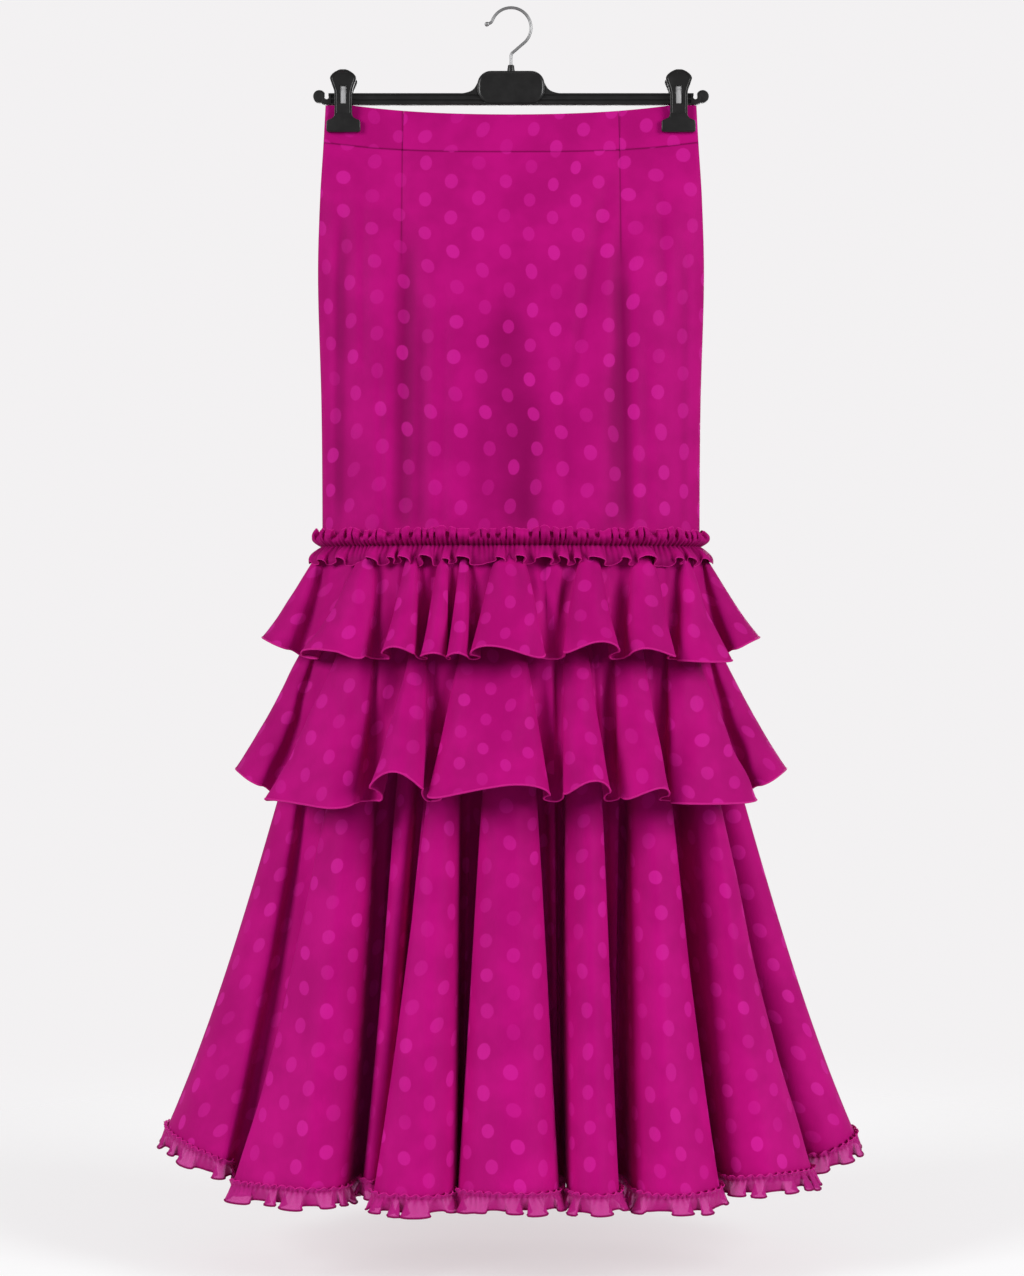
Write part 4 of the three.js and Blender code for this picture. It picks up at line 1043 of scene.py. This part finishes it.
# Heights, half widths and how far in front of the middle the outer and inner faces stand, from the foot up.
LEVER_ROWS = rows_of(
    "z half outer inner",
    (-123.5, 15.4, 5.9, 2.7),
    (-122.9, 16.6, 6.25, 2.6),
    (-121.9, 17.0, 6.3, 2.6),
    (-113.2, 16.8, 6.5, 2.6),
    (-112.0, 15.8, 6.7, 2.6),
    (-111.1, 13.4, 6.9, 2.6),
    (-109.8, 10.7, 7.2, 2.6),
    (-108.0, 9.2, 7.6, 2.7),
    (-105.5, 8.7, 8.1, 3.1),
    (-99.0, 8.6, 9.4, 3.8),
    (-86.5, 8.7, 9.4, 3.8),
    (-83.5, 9.0, 9.7, 4.2),
    (-80.0, 9.9, 10.2, 5.2),
    (-76.5, 11.2, 10.7, 6.3),
    (-73.5, 12.4, 11.1, 7.2),
    (-71.5, 13.0, 11.4, 7.9),
    (-70.0, 12.9, 11.6, 8.2),
    (-68.4, 12.0, 11.8, 8.6),
    (-66.7, 10.4, 12.1, 9.1),
    (-65.0, 8.1, 12.3, 9.5),
    (-63.5, 5.3, 12.4, 9.8),
    (-62.6, 2.4, 12.45, 9.9),
)
LEVER_RIM, LEVER_RECESS = 1.6, 1.15
RECESS_FOOT, RECESS_TOP = -106, -64.2
CLIP_CENTRE = 167.3
WINDOW = dict(half=3.5, top=-78, foot=-96)
SPRING = dict(half=3.0, leg=7.2, thick=0.9, crown=-78.3, foot=-95.7)
BAR_ROWS = rows_of(
    "z half",
    (-96.0, 183.0),
    (-95.3, 186.6),
    (-94.2, 189.5),
    (-84.5, 189.5),
)
# The bar's shoulders, which curve up to the plaque.
SHOULDER_ROWS = rows_of(
    "z half",
    (-92.0, 49.0),
    (-84.7, 49.0),
    (-83.9, 45.0),
    (-83.0, 41.8),
    (-81.6, 38.9),
    (-79.5, 36.6),
    (-77.0, 35.0),
    (-74.0, 33.5),
    (-71.5, 32.4),
)
BAR_DEPTH = 7
SHOULDER_DEPTH, BULB_DEPTH = 6.86, 6.92
BULB = dict(across=191.5, height=-87.6, radius=6.2)
NOTCH = dict(across=184.2, height=-88.5, radius=2.1)
PLAQUE = dict(half=33.5, top=-62.5, bottom=-94.5, corner=13.5, depth=9, rim=1.3, slope=1.1, recess=0.9)
GROOVES = dict(start=26, end=180, half=1.7, depth=1.5, heights=(-87.7, -92.7))
SOCKET = dict(foot=-64, top=-56, foot_radius=4.1, top_radius=3.1, bore=1.8, bore_foot=-66.3)
HOOK = dict(wire=1.5, bend=20, start=-50, end=160, foot=-66, stem_top=-47.2, neck=5)
# The wire's end beyond the bend, and the sections of its knob: a distance on and a radius.
HOOK_TIP = [(-19.6, -12.95), (-20.9, -13.9), (-22.3, -14.4)]
KNOB = [(0.5, 1.95), (1.2, 2.25), (2.1, 2.3), (3.0, 2.1), (3.7, 1.5), (4.1, 0.7)]


NEAR = 0.01  # vertices within this distance count as in place
SMOOTH_ANGLE = 32
EDGE_ROUND = 0.5
NOTCH_THROAT = 0.86  # the width of the notch's opening, as a share of its bore's


def alone(piece=None):
    """Selects only this piece and makes it active, or selects none."""
    bpy.ops.object.select_all(action="DESELECT")
    if piece:
        bpy.context.view_layer.objects.active = piece
        piece.select_set(True)


def edit(select=None):
    """Edit mode on the active object, with all vertices or those that select accepts selected."""
    bpy.ops.object.mode_set(mode="OBJECT")
    piece = bpy.context.object
    for vertex in piece.data.vertices:
        vertex.select = False
    bpy.ops.object.mode_set(mode="EDIT")
    bpy.ops.mesh.select_mode(type="VERT")
    bpy.ops.mesh.select_all(action="DESELECT")
    bpy.ops.object.mode_set(mode="OBJECT")
    for vertex in piece.data.vertices:
        vertex.select = select is None or bool(select(vertex.co / MM))
    bpy.ops.object.mode_set(mode="EDIT")


def done():
    bpy.ops.object.mode_set(mode="OBJECT")
    return bpy.context.object


def plate(name, rows, grow=0, outer=0.0, inner=0.0):
    """A plate drawn up row by row. grow widens every row.

    A row's own outer and inner, where it has them, go before the given ones."""
    rows = [{"outer": outer, "inner": inner, **row} for row in rows]
    first = rows[0]
    alone()
    bpy.ops.mesh.primitive_plane_add(size=2 * MM, rotation=(math.pi / 2, 0, 0))
    piece = bpy.context.object
    piece.name = piece.data.name = name
    bpy.ops.object.transform_apply(location=False, rotation=True, scale=True)
    # The plane's upper edge becomes the first row, and its lower vertices go.
    edit(lambda at: at.z > 0)
    bpy.ops.transform.translate(value=(0, -first["outer"] * MM, (first["z"] - 1) * MM))
    bpy.ops.transform.resize(value=(first["half"] + grow, 1, 1), center_override=(0, 0, 0))
    bpy.ops.mesh.select_all(action="INVERT")
    bpy.ops.mesh.delete(type="VERT")
    done()
    edit()
    for before, row in zip(rows, rows[1:]):
        step = (0, (before["outer"] - row["outer"]) * MM, (row["z"] - before["z"]) * MM)
        bpy.ops.mesh.extrude_edges_move(TRANSFORM_OT_translate={"value": step})
        ratio = (row["half"] + grow) / (before["half"] + grow)
        bpy.ops.transform.resize(value=(ratio, 1, 1), center_override=(0, 0, row["z"] * MM))
    bpy.ops.mesh.select_all(action="SELECT")
    base = first["outer"] - first["inner"]
    bpy.ops.mesh.extrude_region_move(TRANSFORM_OT_translate={"value": (0, base * MM, 0)})
    # Each further row's inner face then moves to its own depth.
    for row in rows[1:]:
        own, inner_face = row["outer"] - row["inner"], base - row["outer"]
        if abs(own - base) > 1e-6:
            edit(lambda at: abs(at.z - row["z"]) < NEAR and abs(at.y - inner_face) < NEAR)
            bpy.ops.transform.translate(value=(0, (own - base) * MM, 0))
    bpy.ops.mesh.select_all(action="SELECT")
    bpy.ops.mesh.normals_make_consistent(inside=False)
    return done()


def block(half_size, centre):
    alone()
    bpy.ops.mesh.primitive_cube_add(size=2)
    edit()
    bpy.ops.transform.resize(value=[h * MM for h in half_size], center_override=(0, 0, 0))
    bpy.ops.transform.translate(value=[c * MM for c in centre])
    return done()


def cylinder(radius, top_radius, depth, centre, along_y=False, sides=40):
    alone()
    turn = (math.pi / 2, 0, 0) if along_y else (0, 0, 0)
    bpy.ops.mesh.primitive_cone_add(
        vertices=sides, radius1=radius * MM, radius2=top_radius * MM, depth=depth * MM, rotation=turn
    )
    bpy.ops.object.transform_apply(location=False, rotation=True, scale=True)
    edit()
    bpy.ops.transform.translate(value=[c * MM for c in centre])
    return done()


def combined(piece, other, operation):
    """The piece joined with or cut by another one, which goes."""
    alone(piece)
    modifier = piece.modifiers.new("join", "BOOLEAN")
    modifier.operation, modifier.object, modifier.solver = operation, other, "EXACT"
    bpy.ops.object.modifier_apply(modifier=modifier.name)
    bpy.data.objects.remove(other, do_unlink=True)
    return piece


def softened(piece, width, angle=60, segments=3):
    """The piece with its sharp edges rounded a little."""
    alone(piece)
    modifier = piece.modifiers.new("rounding", "BEVEL")
    modifier.width, modifier.segments = width * MM, segments
    modifier.limit_method, modifier.angle_limit = "ANGLE", math.radians(angle)
    bpy.ops.object.modifier_apply(modifier=modifier.name)
    return piece


def dressed(piece, node, material):
    alone(piece)
    bpy.ops.object.shade_smooth_by_angle(angle=math.radians(SMOOTH_ANGLE))
    piece.data.materials.clear()
    piece.data.materials.append(material)
    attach(piece, "root")
    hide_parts(node)
    return piece


def moulded_lever():
    """A lever with a sunk face between two rounded rails, and a window for the spring."""
    lever = softened(plate("lever", LEVER_ROWS), 0.55)
    recess_rows = [
        dict(row, outer=row["outer"] + 2, inner=row["outer"] - LEVER_RECESS)
        for row in LEVER_ROWS
        if RECESS_FOOT < row["z"] < RECESS_TOP
    ]
    recess = softened(plate("recess", recess_rows, grow=-LEVER_RIM), 0.8)
    lever = combined(lever, recess, "DIFFERENCE")
    window_middle = (WINDOW["top"] + WINDOW["foot"]) / 2
    hole = block((WINDOW["half"], 20, (WINDOW["top"] - WINDOW["foot"]) / 2), (0, 0, window_middle))
    return combined(lever, hole, "DIFFERENCE")


def steel_spring():
    """A band that runs up behind one window, over the bar and down behind the other, with a lip at its bend."""
    half, leg, thick, crown, foot = (SPRING[key] for key in ("half", "leg", "thick", "crown", "foot"))
    middle, height = (crown + foot) / 2, (crown - foot) / 2
    band = softened(block((half, leg, height), (0, 0, middle)), 0.35)
    inside = block((half * 2, leg - thick, height), (0, 0, middle - thick))
    band = combined(band, inside, "DIFFERENCE")
    for face in (-1, 1):
        lip = softened(block((half, 0.7, 1.5), (0, face * (leg - 0.2), crown - 1.6)), 0.3)
        band = combined(band, lip, "UNION")
    return band


def clips():
    lever, spring = moulded_lever(), steel_spring()
    for side, label in ((-1, "left"), (1, "right")):
        for node, source, back in (
            (f"clip_{label}_front_lever", lever, False),
            (f"clip_{label}_back_lever", lever, True),
            (f"clip_{label}_spring", spring, False),
        ):
            piece = source.copy()
            piece.data = source.data.copy()
            piece.name = piece.data.name = node + ("_moulded" if source is lever else "_band")
            bpy.context.scene.collection.objects.link(piece)
            alone(piece)
            edit()
            if back:
                bpy.ops.transform.rotate(value=math.pi, orient_axis="Z", center_override=(0, 0, 0))
            bpy.ops.transform.translate(value=(side * CLIP_CENTRE * MM, 0, 0))
            done()
            if source is lever:
                dressed(piece, node, BLACK_PLASTIC)
            else:
                dressed(piece, node, BRUSHED_STEEL)
    for source in (lever, spring):
        bpy.data.objects.remove(source, do_unlink=True)


def sunk_plaque():
    """A rounded plate whose two faces lie a little below their rims, with sloping walls."""
    alone()
    bpy.ops.mesh.primitive_plane_add(size=2, rotation=(math.pi / 2, 0, 0))
    bpy.ops.object.transform_apply(location=False, rotation=True, scale=True)
    tall, middle = (PLAQUE["top"] - PLAQUE["bottom"]) / 2, (PLAQUE["top"] + PLAQUE["bottom"]) / 2
    edit()
    bpy.ops.transform.resize(value=(PLAQUE["half"] * MM, 1, tall * MM), center_override=(0, 0, 0))
    bpy.ops.transform.translate(value=(0, -PLAQUE["depth"] / 2 * MM, middle * MM))
    bpy.ops.mesh.bevel(offset=PLAQUE["corner"] * MM, segments=12, affect="VERTICES")
    bpy.ops.mesh.select_all(action="SELECT")
    bpy.ops.mesh.extrude_region_move(TRANSFORM_OT_translate={"value": (0, PLAQUE["depth"] * MM, 0)})
    bpy.ops.mesh.select_all(action="SELECT")
    bpy.ops.mesh.normals_make_consistent(inside=False)
    for face in (-1, 1):
        edit(lambda at: at.y * face > PLAQUE["depth"] / 2 - NEAR)
        bpy.ops.mesh.select_mode(type="FACE")
        bpy.ops.mesh.inset(thickness=PLAQUE["rim"] * MM, depth=0)
        bpy.ops.mesh.inset(thickness=PLAQUE["slope"] * MM, depth=-PLAQUE["recess"] * MM)
    return softened(done(), 0.35, angle=30)


def along_bar(radius, depth, across, height):
    """A cylinder square to the bar's faces."""
    return cylinder(radius, radius, depth, (across, 0, height), True)


def hanger_bar():
    half_depth, half_shoulder = BAR_DEPTH / 2, SHOULDER_DEPTH / 2
    bar = softened(plate("hanger_bar_moulded", BAR_ROWS, outer=half_depth, inner=-half_depth), EDGE_ROUND)
    shoulders = plate("shoulders", SHOULDER_ROWS, outer=half_shoulder, inner=-half_shoulder)
    bar = combined(bar, softened(shoulders, EDGE_ROUND), "UNION")
    radius, notch_height = NOTCH["radius"], NOTCH["height"]
    length = (GROOVES["end"] - GROOVES["start"]) / 2
    groove_size = (length, GROOVES["depth"], GROOVES["half"])
    for side in (-1, 1):
        bulb = along_bar(BULB["radius"], BULB_DEPTH, side * BULB["across"], BULB["height"])
        bar = combined(bar, softened(bulb, EDGE_ROUND), "UNION")
        across = side * NOTCH["across"]
        bar = combined(bar, along_bar(radius, 20, across, notch_height), "DIFFERENCE")
        throat = block((radius * NOTCH_THROAT, 10, 5), (across, 0, notch_height + 5))
        bar = combined(bar, throat, "DIFFERENCE")
        for face in (-1, 1):
            for height in GROOVES["heights"]:
                groove = block(groove_size, (side * (GROOVES["start"] + length), face * half_depth, height))
                bar = combined(bar, softened(groove, EDGE_ROUND), "DIFFERENCE")
    bar = combined(bar, sunk_plaque(), "UNION")
    height = SOCKET["top"] - SOCKET["foot"]
    middle = (0, 0, SOCKET["foot"] + height / 2)
    socket = cylinder(SOCKET["foot_radius"], SOCKET["top_radius"], height, middle, sides=24)
    bar = combined(bar, softened(socket, EDGE_ROUND), "UNION")
    bore = cylinder(SOCKET["bore"], SOCKET["bore"], 24, (0, 0, SOCKET["bore_foot"] + 12), sides=20)
    dressed(combined(bar, bore, "DIFFERENCE"), "hanger_bar", BLACK_PLASTIC)


def hook_line():
    """The wire's centre line from its foot to its knob, across and up, and its radius at each place."""
    to_bend = math.radians(-HOOK["start"])
    line = [(0, HOOK["foot"]), (0, HOOK["stem_top"])]
    for turn in np.linspace(0, to_bend, 7)[1:]:
        line.append((HOOK["neck"] * (1 - math.cos(turn)), HOOK["stem_top"] + HOOK["neck"] * math.sin(turn)))
    bend, bend_height = HOOK["bend"], HOOK["wire"] - HOOK["bend"]
    for turn in np.radians(np.linspace(HOOK["start"], HOOK["end"], 45)):
        line.append((bend * math.cos(turn), bend_height + bend * math.sin(turn)))
    line += HOOK_TIP
    radii = [HOOK["wire"]] * len(line)
    last, before = np.array(line[-1]), np.array(line[-2])
    onward = (last - before) / np.linalg.norm(last - before)
    line += [tuple(last + onward * distance) for distance, _ in KNOB]
    return np.array(line), radii + [radius for _, radius in KNOB]


def hanger_hook():
    """Round wire drawn up from the stem's foot, round the bend and out to the knob."""
    line, radii = hook_line()
    moves = np.diff(line, axis=0)
    headings = np.unwrap(np.arctan2(moves[:, 0], moves[:, 1]))
    sections = np.concatenate([headings[:1], (headings[1:] + headings[:-1]) / 2, headings[-1:]])
    alone()
    bpy.ops.mesh.primitive_circle_add(vertices=14, radius=HOOK["wire"] * MM, fill_type="NGON")
    hook = bpy.context.object
    hook.name = hook.data.name = "hanger_hook_wire"
    edit()
    bpy.ops.transform.translate(value=(line[0][0] * MM, 0, line[0][1] * MM))
    for i, move in enumerate(moves, start=1):
        bpy.ops.mesh.extrude_region_move(TRANSFORM_OT_translate={"value": (move[0] * MM, 0, move[1] * MM)})
        centre = (line[i][0] * MM, 0, line[i][1] * MM)
        # With no window open, a turn goes the other way.
        turn = sections[i - 1] - sections[i]
        if abs(turn) > 1e-6:
            bpy.ops.transform.rotate(value=turn, orient_axis="Y", center_override=centre)
        if radii[i] != radii[i - 1]:
            bpy.ops.transform.resize(value=(radii[i] / radii[i - 1],) * 3, center_override=centre)
    bpy.ops.mesh.select_all(action="SELECT")
    bpy.ops.mesh.normals_make_consistent(inside=False)
    dressed(done(), "hanger_hook", STEEL)


clips()
hanger_bar()
hanger_hook()

waistband()
tube_panels()
third_flounce = flounces()
knee_frill()
hem_frill(third_flounce)

# ---------------------------------------------------------------- studio

EYE_HEIGHT, CAMERA_AWAY, LENS = -628.8, 2600, 73.35
FLOOR = -1247
PAPER = (0.895, 0.880, 0.888, 1)  # the seamless background
AIR_LIGHT = 0.21  # how much of it lights the garment from all round


def studio():
    scene = bpy.context.scene
    scene.view_settings.view_transform = "Standard"
    camera = bpy.data.objects.new("camera", bpy.data.cameras.new("camera"))
    camera.data.lens = LENS
    camera.data.sensor_width = 36
    camera.data.clip_end = 60
    camera.location = (1 * MM, -CAMERA_AWAY * MM, EYE_HEIGHT * MM)
    camera.rotation_euler = (math.radians(90), 0, 0)
    scene.collection.objects.link(camera)
    scene.camera = camera

    alone()
    bpy.ops.mesh.primitive_circle_add(vertices=96, radius=4, fill_type="TRIFAN", location=(0, 0, FLOOR * MM))
    floor = bpy.context.object
    floor.name = "studio_floor"
    n = material_nodes("studio_floor")
    x, y, _ = n.axes(n.place())
    away = (x * x + y * y).call("SQRT")
    lit = n.add("ShaderNodeBsdfDiffuse", {}, {"Color": (0.40, 0.44, 0.44, 1)})
    glow = n.add("ShaderNodeEmission", {}, {"Color": (0.590, 0.555, 0.560, 1)})
    pale = n.add("ShaderNodeAddShader", {}, {0: lit, 1: glow})
    clear = n.add("ShaderNodeBsdfTransparent")
    floor.data.materials.append(
        n.finish(n.add("ShaderNodeMixShader", {}, {0: away.between(0.5, 1.5), 1: pale, 2: clear}))
    )

    sky = Nodes(bpy.data.worlds.new("studio"))
    air = sky.add("ShaderNodeBackground", {}, {0: PAPER, 1: AIR_LIGHT})
    paper = sky.add("ShaderNodeBackground", {}, {0: PAPER})
    seen = sky.add("ShaderNodeLightPath")
    both = sky.add("ShaderNodeMixShader", {}, {0: seen, 1: air, 2: paper})
    scene.world = sky.finish(both, "ShaderNodeOutputWorld")

    def softbox(name, at, aim, size, power):
        light = bpy.data.objects.new(name, bpy.data.lights.new(name, "AREA"))
        light.data.shape = "RECTANGLE"
        light.data.size, light.data.size_y = size
        light.data.energy = power
        light.location = at
        direction = np.array(aim, float) - np.array(at, float)
        yaw = math.atan2(direction[1], direction[0])
        pitch = math.atan2(direction[2], math.hypot(direction[0], direction[1]))
        light.rotation_euler = (math.pi / 2 + pitch, 0, yaw - math.pi / 2)
        scene.collection.objects.link(light)

    softbox("left_softbox", (-3.5, -2.35, 0.95), (0, 0, -0.85), (1.5, 2.1), 150)
    softbox("right_softbox", (3.5, -2.35, 0.85), (0, 0, -0.85), (1.8, 2.4), 166)
    softbox("back_fill", (0.4, 3.6, 0.2), (0, 0, -0.6), (2.4, 2.4), 60)


studio()
